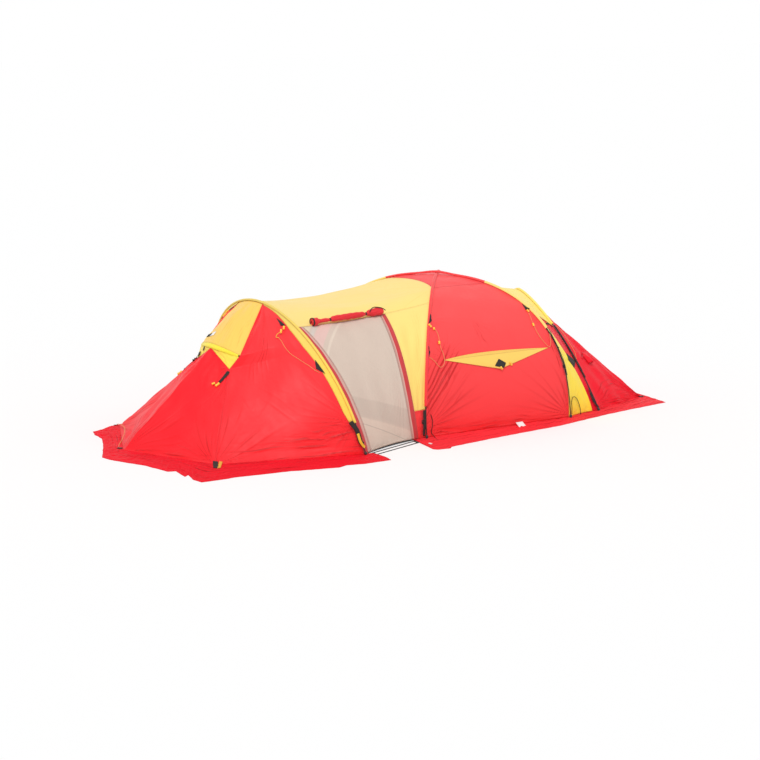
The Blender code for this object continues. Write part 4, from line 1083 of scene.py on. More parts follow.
CORDS = (
    Cord("nose_guy_cord", NOSE_GUY, 0.0045, GUY_CORD, "object"),
    Cord("dome_front_guy_cord", DOME_FRONT_GUY, 0.0045, GUY_CORD, "object"),
    Cord("dome_rear_guy_cord", DOME_REAR_GUY, 0.0045, GUY_CORD, "object"),
    Cord("rear_guy_cord", REAR_GUY, 0.0045, GUY_CORD, "object"),
    Cord("dome_pull_cord", DOME_PULL, 0.006, BLACK_CORD, "knot", "medium"),
    Cord("rear_pull_cord", REAR_PULL, 0.006, BLACK_CORD, "object", "stiff"),
    Cord("nose_peg_cord", NOSE_PEG_CORD, 0.006, GUY_CORD, "object", "medium", "loose"),
)


def quiet_places() -> KDTree:
    """Points of the cords and under the wings, where the cloth stays smooth."""
    points = [point for cord in CORDS for point in cord.points()]
    wing, nose = DomeFly(), Nose()
    for column in range(61):
        for row in range(9):
            for side in (NEAR, FAR):
                points.append(for_side(wing.wing, side)(column / 60, row / 8))
    for step in range(121):
        for across in (0.0, 0.35, 0.7, 1.05):
            near = nose.hoop_margin(nose.hood_top_near, across, step / 120)
            far = nose.hoop_margin(nose.hood_top_far, across, step / 120)
            points += [near, Vector((far.x, -far.y, far.z))]
    tree = KDTree(len(points))
    for index, point in enumerate(points):
        tree.insert(point, index)
    tree.balance()
    return tree


# Cloth.


CALMEST = 0.15
CALM_REACH = 0.012
CALM_FADE = 0.05
CLOTH_ENDINGS = ("_cloth", "_near", "_far")


def away_from_room(_across: float, _up: float, point: Vector) -> Vector:
    """Which way the fly's outer face looks."""
    return -inwards(point)


def upwards(_across: float, _up: float, _point: Vector) -> Vector:
    """Which way the upper face of cloth on the ground looks."""
    return Vector((0.0, 0.0, 1.0))


def away_from(middle: Callable[[float], Vector]) -> Callable[[float, float, Vector], Vector]:
    """Which way the outside of a closed sheet looks, from its middle line."""
    return lambda _across, up, point: point - middle(up)


@dataclass
class Cloth:
    """A sheet of cloth laid over a surface."""

    name: str
    surface: Surface
    finish: Finish
    columns: int = 0
    rows: int = 0
    nodes: tuple[str, ...] = ()
    body: str = "tent"
    relief: tuple[Relief, ...] = ()
    thickness: float = 0.0012
    edge_gap: float = 0.0
    cell: float = 0.011
    shading: float = 1.9
    fade: float = 0.05
    facing: Callable[[float, float, Vector], Vector] = away_from_room
    held: Held | None = Held.STRETCHED
    closed: bool = False
    side: int = 0
    size: tuple[float, float] = field(default=(0.0, 0.0), init=False)

    def __post_init__(self) -> None:
        """Turn a cloth that is made for one side to that side, names and all."""
        if self.side:
            self.name = side_name(self.name, self.side)
            self.surface = for_side(self.surface, self.side)
            self.nodes = tuple(side_name(node, self.side) for node in self.nodes)

    def measured(self) -> tuple[float, float]:
        """Longest run across and longest run up, as the cloth was cut.

        Returns:
            Width and length in metres.
        """
        steps = 24

        def run(fixed: float, across: bool) -> float:
            """Length of one line of the surface."""
            points = []
            for step in range(steps + 1):
                share = step / steps
                points.append(self.surface(share, fixed) if across else self.surface(fixed, share))
            return sum((there - here).length for here, there in zip(points, points[1:]))

        tries = [step / 8 for step in range(9)]
        return max(run(share, True) for share in tries), max(run(share, False) for share in tries)

    def build(self) -> None:
        """Lay the cloth, crease it and add it to the scene on its body."""
        width, length = self.size = self.measured()
        self.columns = self.columns or max(math.ceil(width / self.cell), 4)
        self.rows = self.rows or max(math.ceil(length / self.cell), 4)
        bm = bmesh.new()
        uv_layer = bm.loops.layers.uv.new("cut")
        bm.verts.layers.float.new("fold")
        rim_layer = bm.verts.layers.float.new("rim")
        bmesh.ops.create_grid(bm, x_segments=self.columns, y_segments=self.rows, size=0.5)
        shares = {vertex: (vertex.co.x + 0.5, vertex.co.y + 0.5) for vertex in bm.verts}
        gap_across, gap_up = self.edge_gap / width, self.edge_gap / length
        row_run: dict[int, float] = {}
        for vertex, (across, up) in shares.items():
            place_across = between(gap_across, 1 - gap_across, across)
            vertex.co = self.surface(place_across, between(gap_up, 1 - gap_up, up))
            row = round(up * self.rows)
            if row not in row_run:
                row_run[row] = (self.surface(1.0, up) - self.surface(0.0, up)).length
            sides = (across, 1 - across) if not self.closed else (1.0, 1.0)
            nearest_side = min(sides) * row_run[row]
            vertex[rim_layer] = min(nearest_side, up * length, (1 - up) * length)
        for face in bm.faces:
            for loop in face.loops:
                across, up = shares[loop.vert]
                loop[uv_layer].uv = (across * width, up * length)
        area = sum(face.calc_area() for face in bm.faces)
        self.turn_out(bm, shares)
        bm.normal_update()
        self.crease(bm, shares, width, length)
        bmesh.ops.remove_doubles(bm, verts=bm.verts, dist=1e-5)
        bmesh.ops.dissolve_degenerate(bm, edges=bm.edges, dist=1e-6)
        piece = self.piece_from(bm)
        if self.held:
            if area < 0.4 * width * length:
                width = 2 * area / length
            min(area, width * length)

    def crease(
        self, bm: bmesh.types.BMesh, shares: dict[bmesh.types.BMVert, tuple[float, float]], width: float, length: float
    ) -> None:
        """Raise the creases, and keep their shade for the finish.

        Args:
            bm: The smooth sheet.
            shares: Each vertex's place in the sheet.
            width: The sheet's width.
            length: The sheet's length.
        """
        if not self.relief:
            return
        crease_shade_layer, rim_layer = bm.verts.layers.float["fold"], bm.verts.layers.float["rim"]
        vertices = list(shares)
        x = np.array([shares[vertex][0] for vertex in vertices]) * width
        cut = Cut(x, np.array([shares[vertex][1] for vertex in vertices]) * length, width, length)
        rim = np.array([vertex[rim_layer] for vertex in vertices])
        near_cord = np.array([QUIET_PLACES.find(vertex.co)[2] for vertex in vertices])
        hold = eased(np.clip(rim / self.fade, 0.0, 1.0))
        calm = between(CALMEST, 1.0, np.clip((near_cord - CALM_REACH) / CALM_FADE, 0.0, 1.0))
        rise, shade = np.zeros_like(x), np.zeros_like(x)
        for part in self.relief:
            part_rise, part_shade = part.relief(cut)
            rise += part_rise
            shade = np.maximum(shade, part_shade)
        rise, shade = rise * hold * calm, np.clip(shade * self.shading * (0.3 + 0.7 * hold), 0.0, 1.0)
        for vertex, up, dark in zip(vertices, rise.tolist(), shade.tolist()):
            vertex.co += vertex.normal * up
            vertex.co.z = max(vertex.co.z, CLOTH_LOWEST)
            vertex[crease_shade_layer] = dark

    def turn_out(self, bm: bmesh.types.BMesh, shares: dict[bmesh.types.BMVert, tuple[float, float]]) -> None:
        """Turn the sheet's faces to its outer side.

        Args:
            bm: The open sheet.
            shares: Each vertex's place in the sheet.
        """
        outward = 0.0
        for face in bm.faces:
            face.normal_update()
            out = self.facing(*shares[face.verts[0]], face.calc_center_median())
            outward += face.normal.dot(out) * face.calc_area()
        if outward < 0:
            bmesh.ops.reverse_faces(bm, faces=bm.faces)

    def piece_from(self, bm: bmesh.types.BMesh) -> bpy.types.Object:
        """Make the object, give it a thickness and a finish, and let it ride.

        Args:
            bm: The creased sheet.

        Returns:
            The object.
        """
        piece = add_piece(self.name, bm, self.finish, self.body)
        shell = piece.modifiers.new("cloth", "SOLIDIFY")
        shell.thickness = self.thickness
        shell.offset = 0.0
        if self.nodes:
            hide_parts(*self.nodes)
        LOG.info("%s: cut %.2f x %.2f m", self.name, *self.size)
        return piece


def dress_nodes(finish: Finish, *names: str) -> None:
    """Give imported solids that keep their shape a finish.

    Args:
        finish: What they are made of.
        names: The nodes.
    """
    for name in names:
        node = frame["nodes"][name]
        node.data.materials.clear()
        node.data.materials.append(finish.made())


# Studio.


@dataclass
class Studio:
    """Camera, plain pale floor and soft light."""

    camera_place: Place = (-12.126, -17.782, 4.567)
    camera_turn: float = math.radians(-32.81)
    camera_drop: float = math.radians(11.25)
    lens: float = 104.21
    floor_half: float = 60.0
    floor_colour: Colour = (0.93, 0.93, 0.93)
    sky_strength: float = 0.62
    sun_strength: float = 1.75

    def build(self) -> None:
        """Set the camera, the floor and the lamps."""
        self.add_camera()
        self.add_floor()
        self.add_light()

    def add_camera(self) -> None:
        """The camera at the photograph's viewing angle."""
        data = bpy.data.cameras.new("camera")
        data.lens = self.lens
        data.sensor_width = 36.0
        data.clip_end = 400.0
        camera = bpy.data.objects.new("camera", data)
        camera.location = self.camera_place
        camera.rotation_euler = (math.pi / 2 - self.camera_drop, 0.0, self.camera_turn)
        bpy.context.scene.collection.objects.link(camera)
        bpy.context.scene.camera = camera

    def add_floor(self) -> None:
        """A pale floor that keeps the tent's shadow."""
        bm = bmesh.new()
        bmesh.ops.create_grid(bm, x_segments=1, y_segments=1, size=self.floor_half)
        bmesh.ops.translate(bm, verts=bm.verts, vec=(0.0, 0.0, -0.0005))
        mesh = bpy.data.meshes.new("floor")
        bm.to_mesh(mesh)
        bm.free()
        shade = Shade("floor_paper")
        shade.set("Base Color", self.floor_colour)
        shade.set("Roughness", 1.0)
        shade.set("Specular IOR Level", 0.0)
        mesh.materials.append(shade.material)
        floor = bpy.data.objects.new("floor", mesh)
        bpy.context.scene.collection.objects.link(floor)

    def add_light(self) -> None:
        """An even sky, white to the camera, and one soft lamp from above the camera."""
        world = bpy.data.worlds.new("studio")
        world.use_nodes = True
        bpy.context.scene.world = world
        tree = world.node_tree
        back = tree.nodes["Background"]
        back.inputs["Color"].default_value = (1.0, 1.0, 1.0, 1.0)
        path, seen, strength = (tree.nodes.new(f"ShaderNode{kind}") for kind in ("LightPath", "Math", "MapRange"))
        seen.operation = "MAXIMUM"
        strength.inputs["To Min"].default_value = self.sky_strength
        strength.inputs["To Max"].default_value = 1.0
        for start, end in (
            (path.outputs["Is Camera Ray"], seen.inputs[0]), (path.outputs["Is Glossy Ray"], seen.inputs[1]),
            (seen.outputs[0], strength.inputs["Value"]), (strength.outputs["Result"], back.inputs["Strength"]),
        ):
            tree.links.new(start, end)
        lamp = bpy.data.lights.new("soft_lamp", "SUN")
        lamp.energy = self.sun_strength
        lamp.angle = math.radians(25.0)
        sun = bpy.data.objects.new("soft_lamp", lamp)
        sun.rotation_euler = Vector((0.45, 0.55, -1.0)).to_track_quat("-Z", "Y").to_euler()
        bpy.context.scene.collection.objects.link(sun)
        bpy.context.scene.view_settings.view_transform = "Standard"


# Vestibule and its doors.


@dataclass
class Vestibule:
    """Yellow roof and walls, red zip bands and the doors between the front hoop and the dome."""

    door_top: float = 0.34
    strip_top: float = 0.065

    @staticmethod
    def front_edge(level: float) -> float:
        """Front edge of the door opening."""
        return 0.13 - 0.25 * level

    @staticmethod
    def rear_edge(level: float) -> float:
        """Rear edge of the door opening."""
        return 0.81 - 0.55 * level

    @staticmethod
    def band_outer(level: float) -> float:
        """Rear edge of the rear zip band."""
        return 0.905 - 0.72 * level

    def part(
        self, low: float, high: float, start: Callable[[float], float], end: Callable[[float], float]
    ) -> Surface:
        """Part of the vestibule between two levels and two edges.

        Args:
            low: Lower level.
            high: Upper level.
            start: Front edge at a level.
            end: Rear edge at a level.

        Returns:
            The surface.
        """

        def surface(across: float, up: float) -> Vector:
            """Point on the part."""
            level = between(low, high, up)
            return vestibule(level, between(start(level), end(level), across))

        return surface

    def build(self) -> None:
        """Lay the roof, walls, bands and doors."""
        top = self.door_top
        roof = self.part(top, 1 - top, lambda level: 0.0, lambda level: 1.0)
        roof_relief = (
            Slack(0.007, 0.5, 0.9, 3.0),
            Fan(1.0, 0.21, 0.003, 0.4, 30.0, 1.0, 0.05),
            Fan(1.0, 0.79, 0.003, 0.4, 30.0, 2.0, 0.05),
            Fan(0.0, 0.20, 0.002, 0.4, 30.0, 2.6, 0.05),
        )
        Cloth(
            "vestibule_roof_cloth", roof, YELLOW_ROOF, nodes=("vestibule_roof",), relief=roof_relief, cell=0.013
        ).build()
        for side in (NEAR, FAR):
            self.build_side(side)
        self.build_doors()
        RolledDoor().build()

    def build_side(self, side: int) -> None:
        """Lay one side's wall and bands.

        Args:
            side: NEAR or FAR.
        """
        top, strip = self.door_top, self.strip_top
        wall = self.part(strip, top, self.band_outer, lambda level: 1.0)
        wall_relief = (
            Slack(0.005, 0.2, 0.5, 7.0),
            Pulls((0.95, 0.55), (0.35, 0.12), 0.09, 0.035, 0.003, 9.0, 0.16),
            Pulls((0.6, 0.98), (0.7, 0.4), 0.06, 0.04, 0.003, 4.0, 0.12),
        )
        Cloth(
            "vestibule_wall_cloth", wall, YELLOW_ROOF, nodes=("vestibule_wall",), relief=wall_relief, side=side,
        ).build()
        front = self.part(0.0, top, lambda level: 0.0, self.front_edge)
        band_relief = (Slack(0.003, 0.06, 0.2, 11.0), Pulls((0.5, 0.0), (0.5, 1.0), 0.03, 0.018, 0.002, 3.0, 0.3))
        Cloth(
            "front_zip_band", front, FRONT_BAND if side == NEAR else RED_BAND, 12, 110,
            ("doorway_front_band",), relief=band_relief, fade=0.012, side=side,
        ).build()
        rear = self.part(0.0, top, self.rear_edge, self.band_outer)
        Cloth(
            "rear_zip_band", rear, REAR_BAND if side == NEAR else RED_BAND, 12, 110,
            ("doorway_rear_band",), relief=band_relief, fade=0.012, side=side,
        ).build()
        foot = self.part(0.0, strip, self.band_outer, lambda level: 1.0)
        foot_relief = (Slack(0.004, 0.05, 0.08, 17.0), Pulls((0.0, 0.1), (1.0, 0.9), 0.08, 0.03, 0.004, 3.0, 0.4))
        Cloth("wall_foot_strip", foot, RED_SIDE, relief=foot_relief, fade=0.02, side=side).build()

    def build_doors(self) -> None:
        """Lay the net door on the near side and the closed fabric door on the far side."""
        door = self.part(0.0, self.door_top, self.front_edge, self.rear_edge)
        net_relief = (
            Slack(0.006, 0.35, 0.6, 13.0),
            Pulls((0.05, 0.10), (0.95, 0.02), 0.10, 0.06, 0.002, 2.0, 0.25),
            Fan(1.0, 0.42, 0.003, 0.45, 34.0, 0.5, 0.18),
            Fan(0.02, 0.98, 0.003, 0.35, 30.0, 0.5, 0.15),
        )
        Cloth(
            "net_door_cloth", door, DOOR_NET, nodes=("near_net_door",), body="near_net_door",
            relief=net_relief, edge_gap=0.0012, thickness=0.0008,
        ).build()
        Cloth(
            "far_door_cloth", for_side(door, FAR), RED_SIDE, nodes=("far_door",), body="far_door",
            relief=net_relief, edge_gap=0.0012,
        ).build()


@dataclass
class RolledDoor:
    """The near fabric door, rolled up over the opening and held by two ties."""

    radius: float = 0.026
    level: float = 0.345
    reach: tuple[float, float] = (0.112, 0.640)
    tie_shares: tuple[float, float] = (0.255, 0.756)
    tie_half: float = 0.007
    tie_reach: float = 0.05
    end_reach: float = 0.012
    fullness: tuple[tuple[float, float], ...] = (
        (0.0, 1.20), (0.03, 1.42), (0.07, 1.35), (0.10, 0.8), (0.13, 0.62), (0.20, 0.66), (0.255, 0.45),
        (0.30, 0.92), (0.40, 1.0), (0.60, 1.02), (0.70, 0.92), (0.756, 0.45), (0.80, 0.95), (0.86, 1.35),
        (0.93, 1.42), (1.0, 1.10),
    )

    def seat(self, across: float) -> Vector:
        """Point on the roll's axis, which lies on the roof over the doorway."""
        place = vestibule(self.level, across)
        return place - inwards(place) * self.radius * 1.2

    def girth(self, lengthwise: float) -> float:
        """Share of the radius at a place along the roll."""
        return read_table(self.fullness, lengthwise, soft=True)

    def build(self) -> None:
        """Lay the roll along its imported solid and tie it."""
        start, end = (self.seat(across) for across in self.reach)
        along = (end - start).normalized()
        up = Vector((0.0, 0.0, 1.0))
        side = along.cross(up).normalized()
        up = side.cross(along)

        def surface(across: float, lengthwise: float) -> Vector:
            """Point on the roll's outside, puckered at the ties and full at its ends."""
            turn = 2 * math.pi * across
            girth = self.girth(lengthwise)
            pinch = sum(math.exp(-(((lengthwise - tie) / self.tie_reach) ** 2)) for tie in self.tie_shares)
            folds = 0.06 * math.sin(3 * turn + 9 * lengthwise) + 0.05 * math.sin(7 * turn - 31 * lengthwise)
            folds += 0.10 * pinch * math.sin(9 * turn + 4 * lengthwise)
            wrap = 0.05 * math.sin(turn - 70 * lengthwise) * (1 - 0.6 * pinch)
            closing = min(lengthwise, 1 - lengthwise) / self.end_reach
            radius = self.radius * (girth + (folds + wrap) * girth) * min(0.30 + 0.70 * closing, 1.0)
            middle = start.lerp(end, lengthwise) - up * self.radius * 0.25 * (1 - min(girth, 1.0))
            return middle + (side * math.cos(turn) + up * math.sin(turn)) * radius

        Cloth(
            "rolled_door_cloth", surface, RED_ROLL, 44, 190, ("rolled_door",), held=None, closed=True,
            facing=away_from(lambda up: start.lerp(end, up)), thickness=0.002,
        ).build()
        for index, tie in enumerate(self.tie_shares):
            middle = start.lerp(end, tie) - up * self.radius * 0.14
            self.add_band(f"door_tie_{index}", middle, along, side, up, self.radius * 0.52)
        self.add_band("door_loop_front", start.lerp(end, 0.012), along, side, up, self.radius * 1.46)
        bow = [
            start.lerp(end, share) + up * self.radius * rise + side * self.radius * aside
            for share, rise, aside in (
                (0.79, 0.4, 1.0), (0.82, 1.35, 0.6), (0.86, 1.85, 0.3), (0.91, 1.75, 0.3), (0.96, 1.35, 0.6),
                (1.0, 0.7, 0.9), (1.015, 0.2, 1.0),
            )
        ]
        cord_curve("door_loop_rear", smooth_route(bow, 6), 0.008, BLACK_CORD)

    def add_band(self, name: str, middle: Vector, along: Vector, side: Vector, up: Vector, radius: float) -> None:
        """Wrap an elastic band round the roll.

        Args:
            name: The piece's name.
            middle: Its place on the roll's axis.
            along: The roll's direction.
            side: Across the roll, level.
            up: Across the roll, upwards.
            radius: The band's radius.
        """

        def surface(across: float, lengthwise: float) -> Vector:
            """Point on the tie."""
            turn = 2 * math.pi * across
            out = side * math.cos(turn) + up * math.sin(turn)
            return middle + along * (lengthwise - 0.5) * 2 * self.tie_half + out * radius

        outward = away_from(lambda _up: middle)
        Cloth(name, surface, BLACK_WEBBING, 32, 3, facing=outward, held=None, closed=True, thickness=0.0025).build()


# Nose.


@dataclass
class Nose:
    """Red side and front panels, and the yellow vent hood with its stiff brim and gussets."""

    corner: Vector = field(default_factory=lambda: Vector((-3.029, -0.951, HEM_HEIGHT)))
    tip: Vector = field(default_factory=lambda: Vector((-2.514, -0.313, 0.713)))
    brim_end: Vector = field(default_factory=lambda: Vector((-2.433, -0.371, 0.840)))
    brim_crown_x: float = -2.515
    brim_crown_z: float = 0.902
    apex: Vector = field(default_factory=lambda: Vector((-2.535, 0.0, 0.866)))
    hem_middle: Vector = field(default_factory=lambda: Vector((-3.462, 0.0, HEM_HEIGHT)))
    hood_top_near: float = 0.48
    hood_top_far: float = 0.405
    tip_level: float = 0.27125
    brim_level: float = 0.305625
    sag: float = 0.03
    margin_foot: float = 0.078
    margin_widths: tuple[tuple[float, float], ...] = (
        (0.27, 0.040), (0.40, 0.064), (0.80, 0.068), (0.97, 0.084), (1.10, 0.070), (1.20, 0.036), (1.26, 0.020),
    )
    brim_drop_end: float = 0.022
    brim_drop_middle: float = 0.034

    def brim(self, share: float) -> Vector:
        """Point on the brim's top edge, from the near end to the far end."""
        turn = math.pi * share
        x = self.brim_end.x + (self.brim_crown_x - self.brim_end.x) * math.sin(turn)
        z = self.brim_end.z + (self.brim_crown_z - self.brim_end.z) * math.sin(turn)
        return Vector((x, self.brim_end.y * (1 - 2 * share), z))

    def ridge(self, level: float, top: float) -> Vector:
        """Where the side panel that leaves the hoop at a level ends.

        Args:
            level: Share of the hoop's seam.
            top: The level at which the panel ends.

        Returns:
            The point on the panel's front edge.
        """
        if level <= self.tip_level:
            return self.corner.lerp(self.tip, level / self.tip_level)
        if level <= self.brim_level:
            return self.tip.lerp(self.brim_end, (level - self.tip_level) / (self.brim_level - self.tip_level))
        share = (level - self.brim_level) / (top - self.brim_level)
        return self.brim_end.lerp(FRONT_SEAM.at(top), share)

    def side(self, top: float) -> Surface:
        """The near side panel.

        Args:
            top: The level at which it ends on the hoop.

        Returns:
            The surface.
        """

        def surface(across: float, up: float) -> Vector:
            """Point on the panel."""
            level = top * up
            hoop, ridge = FRONT_SEAM.at(level), self.ridge(level, top)
            bow = self.sag * min((ridge - hoop).length, 1.0) * min(up / 0.04, 1.0)
            return drawn_in(hoop, ridge, across, bow)

        return surface

    def hoop_margin(self, top: float, across: float, up: float) -> Vector:
        """Point on the near side panel beside the front pole, under the wide side of its sleeve.

        Args:
            top: The level at which the panel ends on the hoop.
            across: Share of the way from the pole to the sleeve's free edge.
            up: Share of the way from the sleeve's foot to the panel's top.

        Returns:
            The point.
        """
        level = between(self.margin_foot, top, up)
        here = FRONT_SEAM.at(level)
        run = (self.ridge(level, top) - here).length
        width = read_table(self.margin_widths, here.z)
        return self.side(top)(min(width / max(run, 0.05), 1.0) * across, level / top)

    def front(self, across: float, up: float) -> Vector:
        """Point on the front panel, from the near ridge to the far one."""
        near = self.corner.lerp(self.tip, up)
        middle = self.hem_middle.lerp(self.apex, up)
        point = middle.lerp(near, abs(2 * across - 1))
        if across > 0.5:
            point.y = -point.y
        return point

    def hood(self, across: float, up: float) -> Vector:
        """Point on the hood, from the hoop down to the brim."""
        level = between(self.hood_top_near, 1 - self.hood_top_far, across)
        swell = math.sin(math.pi * up) ** 0.8 * math.sin(math.pi * across) ** 0.7
        return FRONT_SEAM.at(level).lerp(self.brim(across), up) + Vector((-0.5, 0.0, 0.86)) * 0.028 * swell

    def gusset(self, across: float, up: float) -> Vector:
        """Point on the near gusset, which closes the hood's side under the brim."""
        under = self.tip.lerp(self.brim_end, 0.90)
        point = self.tip.lerp(under, up).lerp(self.tip.lerp(self.apex, up), across)
        return point + Vector((-0.010, 0.0, 0.020)) * math.sin(math.pi * across) * up * up

    def brim_face(self, across: float, up: float) -> Vector:
        """Point on the stiff brim."""
        share = between(0.02, 0.98, across)
        swell = math.sin(math.pi * share)
        drop = between(self.brim_drop_end, self.brim_drop_middle, swell)
        lean = Vector((-0.16 - 0.40 * swell, 0.0, -1.0)) * drop * up
        roll = Vector((-0.9, 0.0, 0.3)) * 0.006 * math.sin(math.pi * up)
        return self.brim(share) + lean + roll

    def build(self) -> None:
        """Lay the nose's panels."""
        side_relief = (
            Slack(0.010, 0.55, 0.5, 21.0),
            Slack(0.0008, 0.12, 0.3, 22.0),
            Fan(1.0, 0.0, 0.009, 0.55, 30.0, 0.3, 0.6),
            Fan(1.0, 0.565, 0.0025, 0.25, 34.0, 1.7, 0.25),
            Pulls((-0.02, 0.035), (0.85, 0.020), 0.10, 0.055, 0.011, 3.0, 1.0),
            Pulls((-0.02, 0.135), (0.42, 0.085), 0.075, 0.050, 0.011, 6.0, 1.0, 3.0, 1.1),
            Pulls((0.0, 0.07), (0.62, 0.10), 0.05, 0.036, 0.006, 16.0, 0.6),
            Pulls((0.55, 0.96), (0.66, 0.50), 0.11, 0.046, 0.007, 8.0, 0.75),
            Pulls((0.98, 0.56), (0.45, 0.22), 0.20, 0.085, 0.003, 12.0, 0.12),
            Fan(0.0, 0.16, 0.008, 0.34, 38.0, 2.2, 0.65),
            Fan(0.0, 0.74, 0.002, 0.20, 36.0, 0.9, 0.15),
            Pulls((0.05, 0.28), (0.05, 0.95), 0.05, 0.034, 0.003, 31.0, 0.35),
        )
        front_relief = (
            Slack(0.012, 0.4, 0.4, 31.0),
            Fan(0.0, 0.0, 0.010, 0.5, 36.0, 0.2, 0.5),
            Fan(1.0, 0.0, 0.010, 0.5, 36.0, 0.8, 0.5),
            Fan(0.0, 1.0, 0.008, 0.45, 34.0, 0.4, 0.45),
            Fan(1.0, 1.0, 0.008, 0.45, 34.0, 1.4, 0.45),
            Fan(0.5, 0.0, 0.008, 0.5, 32.0, 0.4, 0.5),
            Pulls((0.45, 0.03), (0.02, 0.03), 0.06, 0.04, 0.006, 5.0, 0.5),
        )
        for side, top in ((NEAR, self.hood_top_near), (FAR, self.hood_top_far)):
            Cloth(
                "nose_side_cloth", self.side(top), RED_NOSE, nodes=("nose_side_panel",), relief=side_relief,
                fade=0.02, cell=0.009, side=side,
            ).build()
            Cloth(
                "hood_gusset_cloth", self.gusset, GUSSET_YELLOW, 20, 16, ("hood_gusset",),
                relief=(Slack(0.003, 0.1, 0.1, 33.0),), fade=0.03, side=side,
            ).build()
        Cloth(
            "nose_front_cloth", self.front, RED_FRONT, nodes=("nose_front_panel",), relief=front_relief, fade=0.035
        ).build()
        hood_relief = (
            Slack(0.006, 0.2, 0.3, 41.0),
            Pulls((0.50, 0.0), (0.42, 1.0), 0.14, 0.035, 0.003, 1.0, 0.22),
            Pulls((0.15, 0.0), (0.10, 1.0), 0.06, 0.03, 0.003, 7.0, 0.18),
        )
        Cloth("vent_hood_cloth", self.hood, DEEP_YELLOW, nodes=("vent_hood",), relief=hood_relief, cell=0.010).build()
        Cloth(
            "hood_brim_cloth", self.brim_face, BRIM_YELLOW, 48, 8, ("hood_brim",), thickness=0.004, held=None,
        ).build()
        piping = [self.brim_face(step / 40, 1.0) for step in range(41)]
        cord_curve("hood_brim_piping", piping, 0.010, BRIM_PIPING)


# Dome.


@dataclass
class DomeFly:
    """Red cap and side panels, with a yellow wing sewn to each side."""

    wing_front_x: float = -0.565
    wing_rear_x: float = 0.665
    wing_tip_x: float = 0.056
    wing_top_z: float = 0.70
    wing_tip_z: float = 0.56
    wing_bow: float = 0.030
    wing_clear: float = 0.006
    wing_swell: float = 0.016

    def side(self, across: float, up: float) -> Vector:
        """Point on the near side panel."""
        level = up * self.cap_level
        out = abs(DOME_FRONT_SEAM.at(level).y) / DOME.half_width
        return DOME.point(-1, NEAR, out).lerp(DOME.point(1, NEAR, out), across)

    @property
    def cap_level(self) -> float:
        """Share of the dome seam's length at which the cap starts."""
        for point, reach in zip(DOME_FRONT_SEAM.points, DOME_FRONT_SEAM.reach):
            if point.y >= -DOME.cap_half_width - 1e-6:
                return reach / DOME_FRONT_SEAM.length
        return 0.5

    @staticmethod
    def cap(across: float, up: float) -> Vector:
        """Point on the cap, whose front edge is cut back in a curve."""
        y = DOME.cap_half_width * (2 * up - 1)
        rear = DOME.half_length * DOME.cap_share
        return cap_point(between(-rear + cap_edge(y), rear, across), y)

    def wing(self, across: float, up: float) -> Vector:
        """Point on the near wing, from its sewn top edge to its tip."""
        z = between(self.wing_top_z, self.wing_tip_z, up)
        front = between(self.wing_front_x, self.wing_tip_x, up)
        rear = between(self.wing_rear_x, self.wing_tip_x, up)
        out = DOME.out_at(z)
        lifted = self.wing_clear + self.wing_swell * up * max(math.sin(math.pi * across), 0.0) ** 0.5
        y = -DOME.half_width * out - lifted
        return Vector((between(front, rear, across), y, z))

    def wing_root(self, across: float, up: float) -> Vector:
        """Point on the sewn strip of the near wing, above the line that the wing lifts about."""
        z = self.wing_top_z + self.wing_bow * up * max(math.sin(math.pi * across**0.75), 0.0)
        y = -DOME.half_width * DOME.out_at(z) - self.wing_clear
        return Vector((between(self.wing_front_x, self.wing_rear_x, across), y, z))

    def build(self) -> None:
        """Lay the dome's panels."""
        side_relief = (
            Slack(0.006, 0.6, 0.4, 51.0),
            Pulls((-0.03, 0.15), (0.19, 0.45), 0.105, 0.050, 0.013, 3.0, 1.9, 1.9, 0.4, 0.9, 0.5),
            Pulls((0.01, 0.06), (0.24, 0.34), 0.12, 0.060, 0.008, 7.0, 0.6, 3.0, 0.9),
            Fan(0.0, 0.05, 0.008, 0.45, 36.0, 0.4, 0.75),
            Fan(1.0, 0.02, 0.008, 0.40, 34.0, 1.1, 0.65),
            Fan(0.14, 0.44, 0.006, 0.16, 34.0, 0.3, 0.6),
            Pulls((0.0, 0.022), (0.60, 0.030), 0.040, 0.036, 0.008, 2.0, 0.55),
            Pulls((1.0, 0.018), (0.55, 0.034), 0.040, 0.036, 0.007, 19.0, 0.5),
            Pulls((0.975, 0.05), (0.965, 0.62), 0.022, 0.022, 0.005, 23.0, 0.7, 2.5, 0.2),
            Pulls((0.42, 0.64), (0.50, 0.50), 0.11, 0.040, 0.004, 29.0, 0.5),
            Fan(0.0, 0.70, 0.005, 0.20, 34.0, 0.3, 0.5),
        )
        for side in (NEAR, FAR):
            Cloth(
                "dome_side_cloth", self.side, RED_SIDE, nodes=("side_panel",), relief=side_relief, fade=0.02,
                cell=0.0088, side=side,
            ).build()
            wing_relief = (Slack(0.002, 0.15, 0.1, 61.0), Fan(0.5, 1.0, 0.002, 0.3, 30.0, 0.4, 0.12))
            Cloth(
                "side_wing_cloth", self.wing, WING_YELLOW, 90, 18, ("side_wing",), side_name("side_wing", side),
                relief=wing_relief, fade=0.03, side=side,
            ).build()
            Cloth("side_wing_root_cloth", self.wing_root, WING_YELLOW, 90, 5, held=None, side=side).build()
        cap_relief = (Slack(0.003, 0.3, 0.3, 71.0),)
        Cloth("dome_cap_cloth", self.cap, RED_CAP, nodes=("dome_cap",), relief=cap_relief, cell=0.012).build()


QUIET_PLACES = quiet_places()


# Rear.


